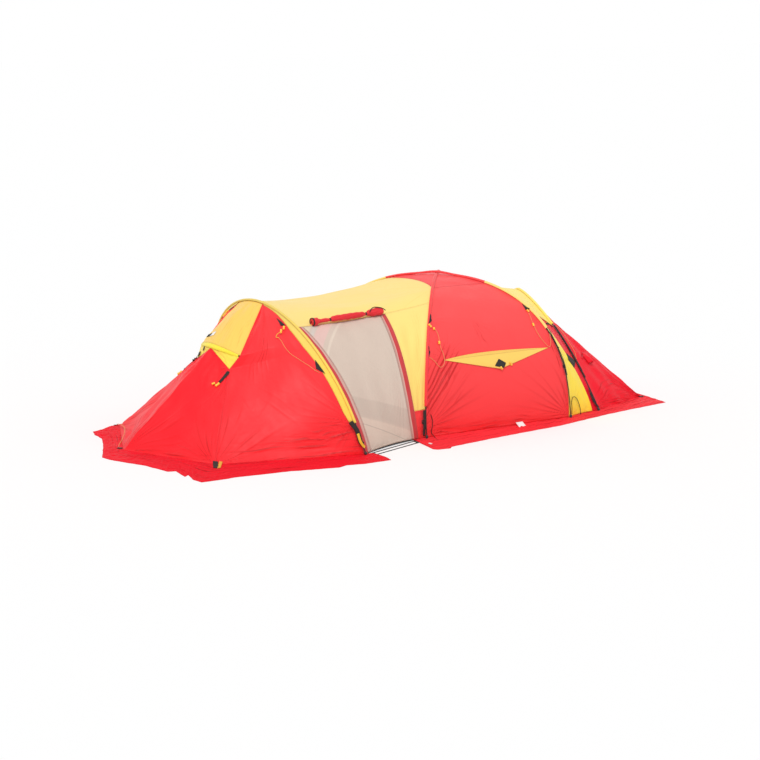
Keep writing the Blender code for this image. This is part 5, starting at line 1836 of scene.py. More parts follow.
@dataclass
class RearEnd:
    """Yellow roof over to the rear hoop, a red strip along the hoop, and the red tail."""

    corner: Vector = field(default_factory=lambda: Vector((2.074, -0.681, HEM_HEIGHT)))
    ridge_level: float = 0.3733
    strip_foot: float = 0.14
    strip_head: float = 0.85
    strip_height: float = 0.80
    hood_rise: float = 0.06
    hood_spread: float = 0.045
    hood_top: float = 0.12
    hood_mouth: float = 0.40

    def strip_edge(self, level: float) -> float:
        """Share of the way to the rear hoop at which the yellow cloth ends."""
        climb = REAR_SEAM.at(level).z / self.strip_height
        return 1 - between(self.strip_foot, self.strip_head, climb**2.2) if climb < 1 else 1.0

    def roof(self, across: float, up: float) -> Vector:
        """Point on the roof, from the dome to the red strip."""
        return rear_roof(up, across * self.strip_edge(up))

    def strip(self, across: float, up: float) -> Vector:
        """Point on the near red strip."""
        level = self.strip_level * up
        return rear_roof(level, between(self.strip_edge(level), 1.0, across))

    @property
    def strip_level(self) -> float:
        """Level on the rear hoop at which the red strip ends."""
        return next(step / 400 for step in range(400) if REAR_SEAM.at(step / 400).z > self.strip_height)

    def side(self, across: float, up: float) -> Vector:
        """Point on the near side panel of the tail."""
        return REAR_SEAM.at(self.ridge_level * up).lerp(self.corner, across)

    def hem(self, level: float) -> Vector:
        """Point on the tail's hem under a level of the rear hoop."""
        across = min(max((level - self.ridge_level) / (1 - 2 * self.ridge_level), 0.0), 1.0)
        return Vector((self.corner.x, self.corner.y * (1 - 2 * across), HEM_HEIGHT))

    def end(self, across: float, up: float) -> Vector:
        """Point on the end panel, from the near ridge to the far one."""
        level = between(self.ridge_level, 1 - self.ridge_level, across)
        return self.hem(level).lerp(REAR_SEAM.at(level), up)

    def hood(self, across: float, up: float) -> Vector:
        """Point on the small awning, raised at its mouth."""
        turn = math.pi * across
        along = between(self.hood_top, self.hood_mouth, up)
        level = 0.5 - self.hood_spread * (up + 0.08) * math.cos(turn)
        point = REAR_SEAM.at(level).lerp(self.hem(level), along)
        return point + Vector((0.72, 0.0, 0.69)) * (0.0025 + self.hood_rise * up * math.sin(turn))

    def build(self) -> None:
        """Lay the rear's panels."""
        roof_relief = (
            Slack(0.005, 0.3, 0.5, 81.0),
            Fan(0.0, 0.0, 0.004, 0.4, 36.0, 0.4, 0.3),
            Pulls((0.1, 0.02), (0.6, 0.25), 0.10, 0.04, 0.003, 3.0, 0.25),
            Pulls((0.1, 0.98), (0.6, 0.75), 0.10, 0.04, 0.003, 3.0, 0.25),
        )
        Cloth("rear_roof_cloth", self.roof, YELLOW_REAR, nodes=("rear_roof",), relief=roof_relief, cell=0.013).build()
        tail_relief = (
            Slack(0.008, 0.4, 0.4, 91.0),
            Fan(1.0, 0.5, 0.009, 0.55, 44.0, 0.4, 0.55),
            Pulls((0.05, 0.02), (0.95, 0.10), 0.10, 0.045, 0.008, 5.0, 0.6),
            Pulls((0.10, 0.10), (0.80, 0.55), 0.16, 0.070, 0.006, 15.0, 0.45),
            Pulls((0.35, 0.98), (0.75, 0.30), 0.12, 0.060, 0.005, 25.0, 0.35),
        )
        strip_relief = (Slack(0.002, 0.05, 0.2, 85.0), Pulls((0.4, 0.0), (0.4, 1.0), 0.03, 0.018, 0.002, 3.0, 0.4))
        for side in (NEAR, FAR):
            Cloth(
                "rear_strip_cloth", self.strip, RED_TAIL, 12, 90, relief=strip_relief, fade=0.012, side=side
            ).build()
            Cloth(
                "tail_side_cloth", self.side, RED_TAIL, nodes=("tail_side_panel",), relief=tail_relief, fade=0.03,
                side=side,
            ).build()
        end_relief = (
            Slack(0.008, 0.4, 0.4, 95.0),
            Fan(0.0, 0.0, 0.008, 0.5, 36.0, 0.0, 0.5),
            Fan(1.0, 0.0, 0.008, 0.5, 36.0, 0.6, 0.5),
        )
        Cloth("tail_end_cloth", self.end, RED_TAIL, nodes=("tail_end_panel",), relief=end_relief, fade=0.03).build()
        Cloth(
            "tail_hood_cloth", self.hood, RED_TAIL, 40, 26, ("tail_vent_hood",),
            relief=(Slack(0.003, 0.1, 0.1, 97.0),), fade=0.03,
        ).build()


# Ground.


FRONT_FLAP_EDGE = (
    (-1.60, -1.64), (-1.87, -1.64), (-2.05, -1.60), (-2.14, -1.635), (-2.585, -1.522), (-3.1, -1.456),
    (-3.19, -1.465), (-3.432, -1.459), (-3.45, -1.34), (-3.401, -1.155), (-3.459, -1.204), (-3.429, -0.974),
    (-3.497, -0.947), (-3.562, -0.641), (-3.726, -0.269), (-3.742, -0.142), (-3.512, 0.31), (-3.409, 0.557),
    (-3.393, 0.735), (-3.351, 0.878), (-3.252, 0.903), (-3.106, 1.004), (-2.98, 1.02), (-2.7, 1.27),
    (-2.2, 1.5), (-1.60, 1.636),
)
FRONT_HEM = (
    (-1.60, -1.324), (-1.699, -1.324), (-3.009, -0.931), (-3.442, 0.0), (-3.009, 0.931), (-1.699, 1.324),
    (-1.60, 1.324),
)
FRONT_PAIRS = ((0, 0), (1, 1), (7, 2), (15, 3), (21, 4), (24, 5), (25, 6))
REAR_FLAP_EDGE = (
    (-1.0, -1.22), (-1.03, -1.40), (-1.046, -1.495), (-1.012, -1.53), (-0.894, -1.549), (-0.84, -1.50),
    (-0.161, -1.40), (0.558, -1.322), (1.281, -1.155), (1.632, -1.099), (2.118, -1.03), (2.16, -0.62),
)
REAR_HEM = ((-1.0, -1.052), (-0.85, -1.052), (0.85, -1.052), (1.275, -0.949), (2.054, -0.661), (2.054, -0.60))
REAR_PAIRS = ((0, 0), (5, 1), (7, 2), (8, 3), (10, 4), (11, 5))


@dataclass
class SnowFlaps:
    """Flaps that lie on the ground round the hem, open at the doorways."""

    swell: float = 0.012
    curl: float = 0.006
    ripples: float = 4.0
    curls: float = 13.0
    fray: float = 0.008
    hem_rise: float = 0.0034
    cells: tuple[int, int] = (640, 26)

    @staticmethod
    def line(points: Sequence[tuple[float, float]]) -> Seam:
        """A line in plan."""
        return Seam([Vector((x, y, 0.0)) for x, y in points])

    def sections(
        self, edge: Sequence[tuple[float, float]], hem: Sequence[tuple[float, float]], pairs: Sequence[tuple[int, int]]
    ) -> list[tuple[float, Seam, Seam]]:
        """Stretches of the flap between corners, each with where it ends along the whole.

        Args:
            edge: The loose edge in plan.
            hem: The sewn edge in plan.
            pairs: Which edge point stands opposite which hem point.

        Returns:
            For each stretch, its end as a share of the whole, its edge and its hem.
        """
        parts = []
        for (edge_from, hem_from), (edge_to, hem_to) in zip(pairs, pairs[1:]):
            parts.append((self.line(edge[edge_from : edge_to + 1]), self.line(hem[hem_from : hem_to + 1])))
        whole = sum(max(outer.length, inner.length) for outer, inner in parts)
        reach, sections = 0.0, []
        for outer, inner in parts:
            reach += max(outer.length, inner.length) / whole
            sections.append((reach, outer, inner))
        return sections

    def surface(self, sections: list[tuple[float, Seam, Seam]], seed: float) -> Surface:
        """The flap between its hem and its loose edge.

        Args:
            sections: Its stretches.
            seed: Which ripples it has.

        Returns:
            The surface.
        """
        ends = [reach for reach, _, _ in sections]

        def point_at(across: float, up: float) -> Vector:
            """Point on the flap, which ripples more towards its loose edge."""
            index = min(bisect_right(ends, across), len(ends) - 1)
            low = ends[index - 1] if index else 0.0
            reach, outer, inner = sections[index]
            share = min((across - low) / (reach - low), 1.0)
            start, end = inner.at(share), outer.at(share)
            point = start.lerp(end, up)
            ripple = noise.noise(Vector((point.x * self.ripples, point.y * self.ripples, seed)))
            curl = noise.noise(Vector((point.x * self.curls, point.y * self.curls, seed + 4.0)))
            loose = up * (2 - up)
            held_down = 1 - up**3
            height = CLOTH_LOWEST + self.hem_rise * (1 - up) + self.swell * loose * held_down * (ripple + 0.5)
            height += self.curl * loose * held_down * (curl + 0.4)
            point += (end - start).normalized() * self.fray * curl * up
            return Vector((point.x, point.y, max(height, CLOTH_LOWEST)))

        return point_at

    def build(self) -> None:
        """Lay both flaps."""
        relief = (
            Slack(0.003, 0.10, 0.12, 101.0),
            Slack(0.002, 0.045, 0.06, 103.0),
            Pulls((0.0, 0.10), (1.0, 0.12), 0.05, 0.05, 0.005, 17.0, 0.9, 2.5, 0.0),
            Pulls((0.0, 0.35), (1.0, 0.40), 0.14, 0.07, 0.006, 11.0, 0.7, 3.0, 0.0),
            Pulls((0.0, 0.75), (1.0, 0.70), 0.10, 0.05, 0.004, 13.0, 0.6, 3.0, 0.0),
        )
        rear_edge = [*REAR_FLAP_EDGE, *((x, -y) for x, y in reversed(REAR_FLAP_EDGE))]
        rear_hem = [*REAR_HEM, *((x, -y) for x, y in reversed(REAR_HEM))]
        last_edge, last_hem = len(rear_edge) - 1, len(rear_hem) - 1
        pairs = [*REAR_PAIRS, *((last_edge - edge, last_hem - hem) for edge, hem in reversed(REAR_PAIRS))]
        for name, sections, seed, finish in (
            ("snow_flap_front", self.sections(FRONT_FLAP_EDGE, FRONT_HEM, FRONT_PAIRS), 1.0, RED_FLAP),
            ("snow_flap_rear", self.sections(rear_edge, rear_hem, pairs), 9.0, RED_REAR_FLAP),
        ):
            Cloth(
                f"{name}_cloth", self.surface(sections, seed), finish, *self.cells, (name,), facing=upwards,
                held=Held.LAID, thickness=0.0010, relief=relief, fade=0.02,
            ).build()


# Poles and sleeves.


POLES = ("front_hoop_pole", "dome_pole_lower", "dome_pole_upper", "rear_hoop_pole")


@dataclass
class PoleFrame:
    """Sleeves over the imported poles."""

    thick: float = 0.0100
    lift: float = 0.011
    pucker: float = 0.0005
    puckers: float = 190.0
    bunch: float = 0.0006
    bunches: float = 14.0
    row_length: float = 0.012
    crossing_half: float = 0.13

    def hoop_line(self, seam: Seam, low: float, ahead: Surface, behind: Surface) -> Seam:
        """The centre line of a hoop's sleeve.

        Args:
            seam: The seam that the hoop stands over.
            low: Height at which the sleeve ends.
            ahead: Point ahead of the seam at a level.
            behind: Point behind the seam at a level.

        Returns:
            The line, from the near end to the far one.
        """
        half = []
        steps = 60
        for step in range(steps + 1):
            level = 0.5 * step / steps
            point = seam.at(level)
            if point.z < low:
                continue
            along = seam.heading(level)
            out = self.normal(point, along, ahead(level, 0.0)) + self.normal(point, along, behind(level, 0.0))
            if step == steps:
                out.y = 0.0
            half.append(point + out.normalized() * self.lift)
        return Seam(half + [Vector((p.x, -p.y, p.z)) for p in reversed(half[:-1])])

    @staticmethod
    def normal(point: Vector, along: Vector, towards: Vector) -> Vector:
        """Outward unit normal of the sheet that leaves a seam's point towards another point."""
        out = along.cross(towards - point).normalized()
        if out.dot(inwards(point)) > 0:
            out.negate()
        return out

    def dome_line(self, x_side: int, low: float, high_end: float, lift: float) -> Seam:
        """The centre line of a dome sleeve.

        Args:
            x_side: Side of the near foot.
            low: Height at which the near end of the sleeve is.
            high_end: Height at which its far end is.
            lift: How far it passes over the other pole.

        Returns:
            The line.
        """
        points = []
        steps = 160
        for step in range(steps + 1):
            angle = math.pi * step / steps
            along = math.cos(angle)
            out = math.copysign(abs(along) ** (2 / DOME.fullness), along)
            point = DOME.point(x_side, NEAR, out)
            point.z = DOME.rise(abs(out))
            if point.z < (low if out > 0 else high_end):
                continue
            small = 1e-3
            slope = (DOME.rise(abs(out) - small) - DOME.rise(abs(out) + small)) / (2 * small * DOME.half_width)
            outward = Vector((0.0, math.copysign(slope, -out), 1.0)).normalized()
            extra = lift * math.exp(-((math.hypot(point.x, point.y) / self.crossing_half) ** 2))
            points.append(point + outward * self.lift + Vector((0.0, 0.0, extra)))
        return Seam(points)

    @staticmethod
    def parted(line: Seam) -> list[Seam]:
        """A dome sleeve's yellow run up to the cap, red run beside it and yellow run beyond it."""
        runs: list[list[Vector]] = [[], [], []]
        for point in line.points:
            runs[(point.y > -DOME.cap_half_width) + (point.y > DOME.cap_half_width)].append(point)
        return [Seam(run + following[:1]) for run, following in zip(runs, [*runs[1:], []])]

    def sleeve(self, name: str, line: Seam, node: str, finish: Finish, wide: float) -> None:
        """Lay a gathered sleeve along a line, flattened where it is wide.

        Args:
            name: The piece's name, without its ending.
            line: The sleeve's centre line.
            node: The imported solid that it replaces.
            finish: What it is made of.
            wide: Half the sleeve's width.
        """

        def surface(across: float, up: float) -> Vector:
            """Point on the sleeve, puckered by its stitching."""
            turn = 2 * math.pi * across
            middle, along = line.at(up), line.heading(up)
            out = -inwards(middle)
            out = (out - along * out.dot(along)).normalized()
            side = along.cross(out)
            pucker = self.pucker * math.sin(up * line.length * self.puckers + 2 * math.sin(turn))
            bunch = self.bunch * noise.noise(Vector((up * line.length * self.bunches, math.cos(turn), 5.0)))
            low = max(wide - self.thick, 0.0) * 0.42 * math.sin(turn) ** 2
            high = out * (math.cos(turn) * (self.thick + pucker + bunch) - low)
            return middle + high + side * math.sin(turn) * (wide + pucker + bunch)

        rows = max(int(line.length / self.row_length), 12)
        Cloth(
            f"{name}_cloth", surface, finish, 22, rows, (node,), facing=away_from(line.at), held=None, closed=True
        ).build()

    def facing_strip(self, nose: Nose, side: int) -> None:
        """Lay the wide flat side of the front sleeve over the nose.

        Args:
            nose: The nose, whose side panel carries the strip.
            side: NEAR or FAR.
        """
        top = nose.hood_top_near if side == NEAR else nose.hood_top_far

        def surface(across: float, up: float) -> Vector:
            """Point on the strip, clear of the panel."""
            place = nose.hoop_margin(top, across, up)
            return place - inwards(place) * 0.007

        relief = (Slack(0.002, 0.03, 0.15, 47.0),)
        Cloth("front_hoop_facing", surface, SLEEVE_YELLOW, 8, 150, relief=relief, fade=0.01, side=side).build()

    def build(self) -> None:
        """Lay the sleeves and finish the poles and cups."""
        nose = Nose()
        top = 0.468

        def nose_side(level: float, _up: float) -> Vector:
            """Point ahead of the front hoop."""
            return nose.ridge(level, top) if level <= top else nose.brim(0.5)

        for side in (NEAR, FAR):
            self.facing_strip(nose, side)
        front = self.hoop_line(FRONT_SEAM, 0.27, nose_side, lambda level, _up: vestibule(level, 0.05))
        tail = RearEnd()
        rear = self.hoop_line(
            REAR_SEAM, 0.80, lambda level, _up: rear_roof(level, 0.95), lambda level, _up: tail.hem(level)
        )
        lower = self.dome_line(-1, 0.30, 0.86, 0.0)
        rear_run, red, yellow = self.parted(self.dome_line(1, 0.86, 0.30, 0.0205))
        for name, line, node, finish, wide in (
            ("front_hoop_sleeve", front, "front_hoop_sleeve", SLEEVE_YELLOW, 0.013),
            ("rear_hoop_sleeve", rear, "rear_hoop_sleeve", YELLOW_REAR, 0.012),
            ("dome_sleeve_lower", lower, "dome_sleeve_lower", RED_SIDE, 0.015),
            ("dome_sleeve_upper_rear", rear_run, "dome_sleeve_upper", YELLOW_ROOF, 0.015),
            ("dome_sleeve_upper", red, "dome_sleeve_upper", RED_SIDE, 0.015),
            ("dome_sleeve_upper_front", yellow, "dome_sleeve_upper", YELLOW_ROOF, 0.013),
        ):
            self.sleeve(name, line, node, finish, wide)
        dress_nodes(POLE_METAL, *POLES)
        dress_nodes(BLACK_PLASTIC, *(name for name in frame["nodes"] if name.startswith("pole_cup")))


# Inner tent.


@dataclass
class InnerTent:
    """The hung room, hardly seen through the net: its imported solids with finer, slacker cloth."""

    slack: float = 0.005

    def build(self) -> None:
        """Copy each soft solid, refine it and let it sag a little."""
        self.copy("inner_canopy", INNER_CLOTH, "tent", Held.HUNG)
        self.copy("inner_front_wall", INNER_CLOTH, "tent", Held.HUNG)
        self.copy("inner_door", INNER_CLOTH, "inner_door", Held.HUNG)
        self.copy("groundsheet", FLOOR_CLOTH, "tent", Held.LAID)
        for node in ("inner_hanger_near", "inner_hanger_far", "sill_strap_near", "sill_strap_far"):
            self.copy(node, BLACK_WEBBING, "tent", None)

    def copy(self, node: str, finish: Finish, body: str, held: Held | None) -> None:
        """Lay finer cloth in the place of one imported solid.

        Args:
            node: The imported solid.
            finish: What it is made of.
            body: The body that it moves with.
            held: How the sheet is held, or None for webbing.
        """
        bm = bmesh.new()
        bm.from_mesh(frame["nodes"][node].data)
        bmesh.ops.remove_doubles(bm, verts=bm.verts, dist=1e-5)
        for _ in range(2):
            long_edges = [edge for edge in bm.edges if edge.calc_length() > 0.07]
            bmesh.ops.subdivide_edges(bm, edges=long_edges, cuts=2)
            bmesh.ops.triangulate(bm, faces=bm.faces)
        uv_layer = bm.loops.layers.uv.new("cut")
        bm.verts.layers.float.new("fold")
        rim_layer = bm.verts.layers.float.new("rim")
        for vertex in bm.verts:
            vertex[rim_layer] = 1.0
            if held is Held.HUNG:
                place = vertex.co * 2.5
                vertex.co += inwards(vertex.co) * self.slack * (noise.noise(place) + 0.2) * min(vertex.co.z / 0.3, 1.0)
        for face in bm.faces:
            for loop in face.loops:
                loop[uv_layer].uv = (loop.vert.co.x + loop.vert.co.y, loop.vert.co.z + loop.vert.co.y)
        area = sum(face.calc_area() for face in bm.faces) / 2
        piece = add_piece(f"{node}_cloth", bm, finish, body)
        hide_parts(node)
        if held:
            low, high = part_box(node)
            length = max(high.x - low.x, high.y - low.y)
            area / length


# Fittings.


@dataclass(frozen=True)
class Fitting:
    """A fitting seated on the cloth at points, which may have its mirror image on the far side."""

    name: str
    points: tuple[Place, ...]
    body: str = field(default="tent", kw_only=True)


@dataclass(frozen=True)
class Patch(Fitting):
    """A reinforcement or tab sewn flat onto the cloth, with a corner at each point."""

    finish: Finish = BLACK_WEBBING
    lift: float = 0.004


@dataclass(frozen=True)
class Strap(Fitting):
    """A length of webbing laid on the cloth along its points."""

    width: float
    lift: float = 0.004
    finish: Finish = BLACK_WEBBING


@dataclass(frozen=True)
class Barrel(Fitting):
    """A small turned fitting between two points: a toggle or a line runner."""

    radius: float = 0.011


@dataclass(frozen=True)
class Buckle:
    """A ladder-lock buckle, lying on the cloth and pointing towards a second point."""

    name: str
    place: Place
    towards: Place
    width: float = 0.028
    length: float = 0.034


PATCHES = (
    Patch("front_hoop_upper_tab", ((-2.049, -0.383, 1.157), (-2.036, -0.525, 1.106), (-2.062, -0.478, 1.092))),
    Patch("front_hoop_lower_tab", ((-1.965, -0.929, 0.84), (-1.929, -1.044, 0.725), (-1.976, -0.965, 0.764))),
    Patch("dome_front_upper_tab", ((-0.562, -0.722, 1.107), (-0.627, -0.792, 1.027), (-0.568, -0.756, 1.045))),
    Patch("dome_front_lower_tab", ((-0.717, -0.918, 0.844), (-0.699, -0.927, 0.786), (-0.731, -0.949, 0.735))),
    Patch(
        "wing_tip_tab", ((0.049, -0.985, 0.652), (-0.011, -1.003, 0.593), (0.089, -1.011, 0.564),
        (0.122, -0.999, 0.607)), BLACK_WEBBING, 0.005, body="side_wing_near",
    ),
    Patch("dome_rear_upper_tab", ((0.53, -0.702, 1.10), (0.586, -0.761, 1.058), (0.54, -0.745, 1.045))),
    Patch("dome_rear_lower_tab", ((0.70, -0.862, 0.87), (0.715, -0.895, 0.80), (0.74, -0.872, 0.835))),
    Patch(
        "rear_mesh_patch", ((1.015, -0.795, 0.583), (1.163, -0.752, 0.48), (1.067, -0.861, 0.437),
        (0.989, -0.863, 0.526)), DARK_PATCH,
    ),
    Patch(
        "hem_patch", ((-0.938, -1.277, 0.004), (-0.942, -1.333, 0.004), (-0.979, -1.363, 0.004),
        (-0.968, -1.297, 0.004)), WHITE_LABEL,
    ),
    Patch(
        "blank_label", ((0.183, -1.100, 0.035), (0.264, -1.100, 0.035), (0.247, -1.185, 0.006),
        (0.163, -1.185, 0.006)), WHITE_LABEL, 0.0,
    ),
    Patch(
        "vent_label", ((-2.420, 0.165, 0.90), (-2.410, 0.10, 0.905), (-2.445, 0.09, 0.89), (-2.450, 0.155, 0.885)),
        WHITE_LABEL,
    ),
)
STRAPS = (
    Strap(
        "front_foot_strap", ((-1.81, -1.279, 0.313), (-1.762, -1.317, 0.236), (-1.735, -1.33, 0.13),
        (-1.719, -1.338, 0.03)), 0.042, 0.024,
    ),
    Strap(
        "front_foot_adjuster", ((-1.755, -1.337, 0.206), (-1.735, -1.336, 0.13), (-1.714, -1.335, 0.075)), 0.024,
        0.030, YELLOW_WEBBING,
    ),
    Strap(
        "dome_foot_strap", ((-0.869, -1.064, 0.272), (-0.872, -1.074, 0.131), (-0.886, -1.10, 0.012)), 0.030, 0.022,
    ),
    Strap("rear_foot_strap", ((1.204, -0.908, 0.222), (1.23, -0.949, 0.111), (1.286, -0.961, 0.019)), 0.024, 0.020),
    Strap(
        "rear_pole_cover", ((0.7046, -0.8886, 0.86), (0.764, -0.9637, 0.70), (0.8024, -1.012, 0.55),
        (0.825, -1.0405, 0.42)), 0.026, 0.020,
    ),
    Strap(
        "rear_hoop_cover", ((1.0826, -0.4857, 0.80), (1.1068, -0.5807, 0.70), (1.1358, -0.6802, 0.58),
        (1.1672, -0.7728, 0.45), (1.1986, -0.8509, 0.32)), 0.022, 0.020,
    ),
    Strap("rear_top_band", ((0.914, -0.594, 0.854), (1.012, -0.515, 0.834), (1.038, -0.53, 0.803)), 0.018),
    Strap(
        "gusset_strap_near", ((-2.530, -0.335, 0.692), (-2.575, -0.341, 0.655), (-2.625, -0.344, 0.612)), 0.034,
        0.006,
    ),
    Strap("gusset_strap_far", ((-2.500, 0.205, 0.690), (-2.550, 0.265, 0.620), (-2.605, 0.330, 0.545)), 0.040, 0.006),
    Strap("nose_peg_strap", ((-3.01, -0.932, 0.027), (-3.05, -1.01, 0.015), (-3.096, -1.10, 0.008)), 0.046, 0.003),
    Strap(
        "nose_peg_loop", ((-2.963, -0.952, 0.026), (-3.02, -1.03, 0.014), (-3.073, -1.115, 0.008)), 0.030, 0.004,
        ORANGE_WEBBING,
    ),
    Strap(
        "front_hoop_loop", ((-2.080, -0.530, 1.045), (-2.115, -0.520, 1.035), (-2.135, -0.530, 1.010),
        (-2.122, -0.549, 0.997)), 0.007, 0.005, ORANGE_WEBBING,
    ),
    Strap("vent_badge", ((-2.410, 0.274, 0.895), (-2.428, 0.159, 0.910)), 0.034),
)
BARRELS = (
    Barrel("front_hoop_toggle_0", ((-2.045, -0.512, 1.078), (-2.062, -0.535, 1.056))),
    Barrel("front_hoop_toggle_1", ((-2.075, -0.515, 1.055), (-2.092, -0.54, 1.035))),
    Barrel("dome_front_toggle_0", ((-0.631, -0.799, 1.019), (-0.61, -0.805, 0.995))),
    Barrel("dome_front_toggle_1", ((-0.582, -0.81, 0.987), (-0.591, -0.819, 0.966))),
    Barrel("dome_front_runner", ((-0.574, -0.885, 0.868), (-0.582, -0.897, 0.842)), 0.0115),
    Barrel("wing_toggle_0", ((0.046, -1.01, 0.575), (0.07, -1.014, 0.555)), 0.0115, body="side_wing_near"),
    Barrel("wing_toggle_1", ((0.165, -0.998, 0.61), (0.19, -1.003, 0.59)), 0.0115, body="side_wing_near"),
    Barrel("dome_rear_toggle", ((0.549, -0.755, 1.05), (0.562, -0.77, 1.025))),
    Barrel("dome_rear_runner", ((0.553, -0.85, 0.93), (0.556, -0.862, 0.902)), 0.0115),
    Barrel("gusset_toggle_near_0", ((-2.630, -0.355, 0.598), (-2.668, -0.345, 0.572)), 0.012),
    Barrel("gusset_toggle_near_1", ((-2.655, -0.318, 0.600), (-2.685, -0.300, 0.588)), 0.012),
    Barrel("gusset_toggle_far", ((-2.615, 0.335, 0.535), (-2.640, 0.365, 0.505)), 0.0115),
)
BUCKLES = (
    Buckle("front_foot_buckle", (-1.756, -1.333, 0.217), (-1.735, -1.34, 0.15), 0.036, 0.04),
    Buckle("dome_foot_buckle", (-0.871, -1.075, 0.16), (-0.876, -1.09, 0.08), 0.034, 0.036),
    Buckle("brim_buckle", (-2.51, 0.16, 0.80), (-2.50, 0.15, 0.74), 0.03, 0.05),
    Buckle("rear_clip", (0.807, -1.029, 0.508), (0.807, -1.05, 0.44)),
    Buckle("dome_foot_mid_clip", (1.089, -0.814, 0.478), (1.10, -0.83, 0.43)),
    Buckle("nose_peg_buckle", (-3.048, 0.992, 0.006), (-3.09, 1.03, 0.006), 0.03, 0.04),
    Buckle("nose_tip_buckle", (-3.467, 0.06, 0.01), (-3.50, 0.10, 0.006), 0.03, 0.05),
    Buckle("tail_buckle", (2.06, -0.71, 0.008), (2.10, -0.75, 0.006), 0.03, 0.05),
)
PAIRED = (
    "front_hoop_upper_tab", "front_hoop_lower_tab", "dome_front_upper_tab", "dome_front_lower_tab", "wing_tip_tab",
    "dome_rear_upper_tab", "dome_rear_lower_tab", "rear_mesh_patch", "front_foot_strap", "front_foot_adjuster",
    "dome_foot_strap", "rear_foot_strap", "rear_pole_cover", "rear_hoop_cover", "rear_top_band",
    "front_hoop_toggle_0", "front_hoop_toggle_1", "dome_front_toggle_0", "dome_rear_toggle", "wing_toggle_0",
    "wing_toggle_1",
)
TOGGLE_PROFILE = (
    (0.0, 0.0), (0.62, 0.01), (0.9, 0.07), (1.0, 0.17), (0.94, 0.3), (0.72, 0.42), (0.72, 0.58), (0.94, 0.7),
    (1.0, 0.83), (0.9, 0.93), (0.62, 0.99), (0.0, 1.0),
)
AWNING = ((1.33, -0.76, 0.56), (1.44, -0.62, 0.54), (1.41, -0.72, 0.42))


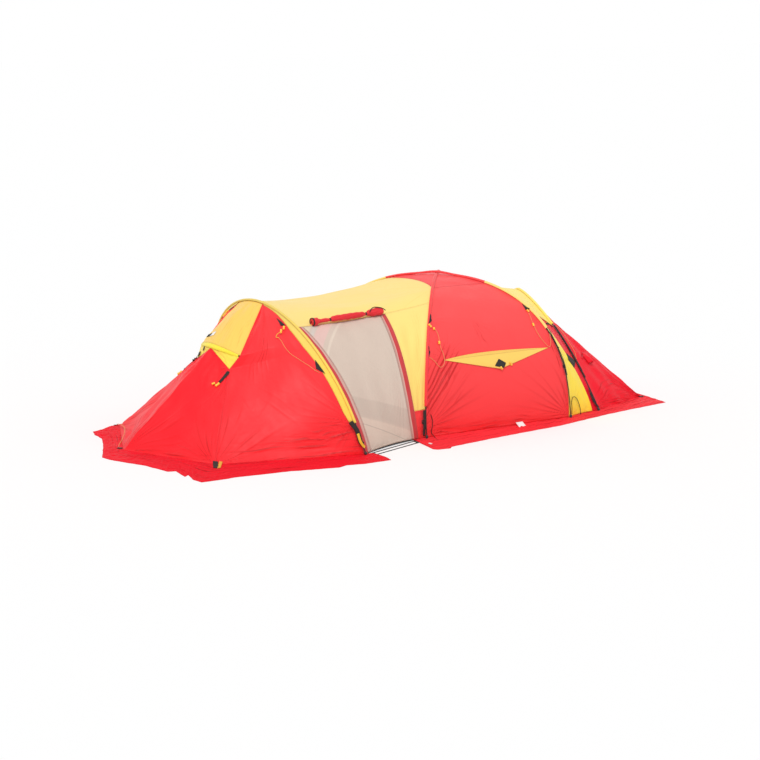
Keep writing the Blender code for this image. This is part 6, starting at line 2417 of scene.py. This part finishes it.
@dataclass
class Fittings:
    """Webbing, buckles, toggles and labels, each seated on the cloth under it."""

    tab_cells: int = 10
    strap_step: float = 0.008
    search: float = 0.12
    patch_thick: float = 0.0018
    strap_thick: float = 0.0022
    buckle_thick: float = 0.006
    buckle_bevel: float = 0.0016
    buckle_rim: float = 0.14
    skin: BVHTree | None = None

    def build(self) -> None:
        """Seat every fitting."""
        self.skin = self.laid_cloth()
        for patch in self.both_sides(PATCHES):
            self.add_patch(patch)
        for strap in self.both_sides(STRAPS):
            self.add_strap(strap)
        for barrel in self.both_sides(BARRELS):
            self.add_barrel(barrel)
        self.add_awning()
        for buckle in BUCKLES:
            self.add_buckle(buckle)

    @staticmethod
    def both_sides(items: Sequence[Fitting]) -> list[Fitting]:
        """The fittings of a table, each paired one followed by its mirror image on the far side.

        Args:
            items: The table.

        Returns:
            The fittings in the order in which they are made.
        """
        made = []
        for item in items:
            made.append(item)
            if item.name in PAIRED:
                points = tuple((x, -y, z) for x, y, z in item.points)
                body = item.body.replace("_near", "_far")
                made.append(replace(item, name=f"{item.name}_far", points=points, body=body))
        return made

    @staticmethod
    def laid_cloth() -> BVHTree:
        """The laid cloth's faces, to seat fittings on."""
        points, faces = [], []
        for piece in bpy.context.scene.objects:
            if piece.type != "MESH" or not piece.name.endswith(CLOTH_ENDINGS) or piece.name.startswith("inner"):
                continue
            start = len(points)
            points += [vertex.co.copy() for vertex in piece.data.vertices]
            faces += [[start + index for index in face.vertices] for face in piece.data.polygons]
        return BVHTree.FromPolygons(points, faces)

    def outermost(self, point: Sequence[float]) -> tuple[Vector, Vector]:
        """The outermost cloth over a point.

        Args:
            point: A place on or near the cloth.

        Returns:
            The place on the cloth and the way it looks.
        """
        place = Vector(point)
        out = Vector((0.0, 0.0, 1.0)) if place.z < 0.03 else -inwards(place)
        hit, normal, _, _ = self.skin.ray_cast(place + out * self.search, -out, 2 * self.search)
        if hit is None:
            hit, normal, _, _ = self.skin.find_nearest(place)
        return hit, normal if normal.dot(out) > 0 else -normal

    def seat(self, point: Sequence[float], lift: float) -> Vector:
        """The place over the outermost cloth at a point."""
        place, normal = self.outermost(point)
        return place + normal * lift

    def facing(self, point: Sequence[float]) -> Vector:
        """Which way the outermost cloth at a point looks."""
        return self.outermost(point)[1]

    def add_patch(self, patch: Patch) -> None:
        """Sew a patch onto the cloth.

        Args:
            patch: The patch.
        """
        corners = [Vector(corner) for corner in patch.points]
        if len(corners) == 3:
            corners.insert(1, corners[0].lerp(corners[1], 0.15))
        first, second, third, fourth = corners
        out = self.facing(first.lerp(third, 0.5))

        def surface(across: float, up: float) -> Vector:
            """Point on the patch."""
            point = first.lerp(second, across).lerp(fourth.lerp(third, across), up)
            return self.seat(point, patch.lift) if patch.lift else point

        cells = self.tab_cells
        Cloth(
            patch.name, surface, patch.finish, cells, cells, body=patch.body, facing=lambda _across, _up, _point: out,
            held=None, thickness=self.patch_thick,
        ).build()

    def add_strap(self, strap: Strap) -> None:
        """Lay a strap along its points.

        Args:
            strap: The strap.
        """
        line = Seam(smooth_route([self.seat(point, strap.lift) for point in strap.points], CURVE_STEPS))

        def surface(across: float, up: float) -> Vector:
            """Point on the strap."""
            middle = line.at(up)
            aside = line.heading(up).cross(self.facing(middle)).normalized()
            return middle + aside * (across - 0.5) * strap.width

        rows = max(math.ceil(line.length / self.strap_step), 4)
        Cloth(
            strap.name, surface, strap.finish, 4, rows, body=strap.body, held=None, thickness=self.strap_thick,
            facing=lambda _across, _up, point: self.facing(point),
        ).build()

    def add_awning(self) -> None:
        """A small flap of red cloth over the vent in the tail's near side."""
        root, end, lip = (Vector(corner) for corner in AWNING)

        def surface(across: float, up: float) -> Vector:
            """Point on the awning, which stands off the tail at its lower edge."""
            sewn = root.lerp(end, across)
            point = self.seat(sewn.lerp(lip + (sewn - root.lerp(end, 0.5)) * 0.55, up), 0.003)
            return point + self.facing(sewn) * 0.045 * up * math.sin(math.pi * across) ** 0.6

        Cloth("tail_awning", surface, RED_TAIL, 24, 10, held=None, thickness=0.0015).build()

    def add_barrel(self, barrel: Barrel) -> None:
        """Turn a toggle with a waist and rounded ends.

        Args:
            barrel: The toggle.
        """
        start, end = (self.seat(point, barrel.radius * 1.05) for point in barrel.points)
        length = (end - start).length
        bm = bmesh.new()
        ring = [bm.verts.new((share * barrel.radius, 0.0, height * length)) for share, height in TOGGLE_PROFILE]
        edges = [bm.edges.new(pair) for pair in zip(ring, ring[1:])]
        bmesh.ops.spin(
            bm, geom=ring + edges, cent=(0.0, 0.0, 0.0), axis=(0.0, 0.0, 1.0), angle=2 * math.pi, steps=20,
            use_merge=True,
        )
        bmesh.ops.remove_doubles(bm, verts=bm.verts, dist=1e-6)
        bmesh.ops.recalc_face_normals(bm, faces=bm.faces)
        turn = Vector((0.0, 0.0, 1.0)).rotation_difference(end - start).to_matrix().to_4x4()
        bmesh.ops.transform(bm, matrix=Matrix.Translation(start) @ turn, verts=bm.verts)
        add_piece(barrel.name, bm, TOGGLE_PLASTIC, barrel.body)

    def add_buckle(self, buckle: Buckle) -> None:
        """Cut a buckle's frame out of a bevelled plate and leave a bar across it.

        Args:
            buckle: The buckle.
        """
        thick = self.buckle_thick
        place = self.seat(buckle.place, thick * 0.8)
        out = self.facing(buckle.place)
        along = Vector(buckle.towards) - Vector(buckle.place)
        along = (along - out * along.dot(out)).normalized()
        aside = along.cross(out)
        bm = bmesh.new()
        bmesh.ops.create_grid(bm, x_segments=1, y_segments=2, size=0.5)
        bmesh.ops.inset_individual(bm, faces=bm.faces, thickness=self.buckle_rim, use_even_offset=True)
        openings = [
            face for face in bm.faces if len(face.verts) == 4 and face.calc_area() < 0.3
            and all(max(abs(vertex.co.x), abs(vertex.co.y)) < 0.45 for vertex in face.verts)
        ]
        bmesh.ops.delete(bm, geom=openings, context="FACES")
        plate = bmesh.ops.extrude_face_region(bm, geom=bm.faces[:])
        raised = [item for item in plate["geom"] if isinstance(item, bmesh.types.BMVert)]
        bmesh.ops.translate(bm, verts=raised, vec=(0.0, 0.0, 1.0))
        bmesh.ops.recalc_face_normals(bm, faces=bm.faces)
        bmesh.ops.translate(bm, verts=bm.verts, vec=(0.0, 0.0, -0.5))
        bmesh.ops.scale(bm, vec=(buckle.width, buckle.length, thick), verts=bm.verts)
        rims = [edge for edge in bm.edges if edge.is_manifold and edge.calc_face_angle(0.0) > 1.0]
        bmesh.ops.bevel(
            bm, geom=rims, offset=self.buckle_bevel, offset_type="OFFSET", segments=2, profile=0.5,
            affect="EDGES", material=-1,
        )
        frame_turn = Matrix((aside, along, out)).transposed().to_4x4()
        bmesh.ops.transform(bm, matrix=Matrix.Translation(place) @ frame_turn, verts=bm.verts)
        bmesh.ops.recalc_face_normals(bm, faces=bm.faces)
        add_piece(buckle.name, bm, BLACK_PLASTIC)


def main() -> None:
    """Build the scene from its sub-assemblies, the camera and the cords first."""
    logging.basicConfig(level=logging.INFO, format="%(message)s")
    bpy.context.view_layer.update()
    Studio().build()
    for cord in CORDS:
        cord.build()
    Vestibule().build()
    Nose().build()
    DomeFly().build()
    RearEnd().build()
    SnowFlaps().build()
    PoleFrame().build()
    InnerTent().build()
    Fittings().build()


if __name__ == "__main__":
    main()
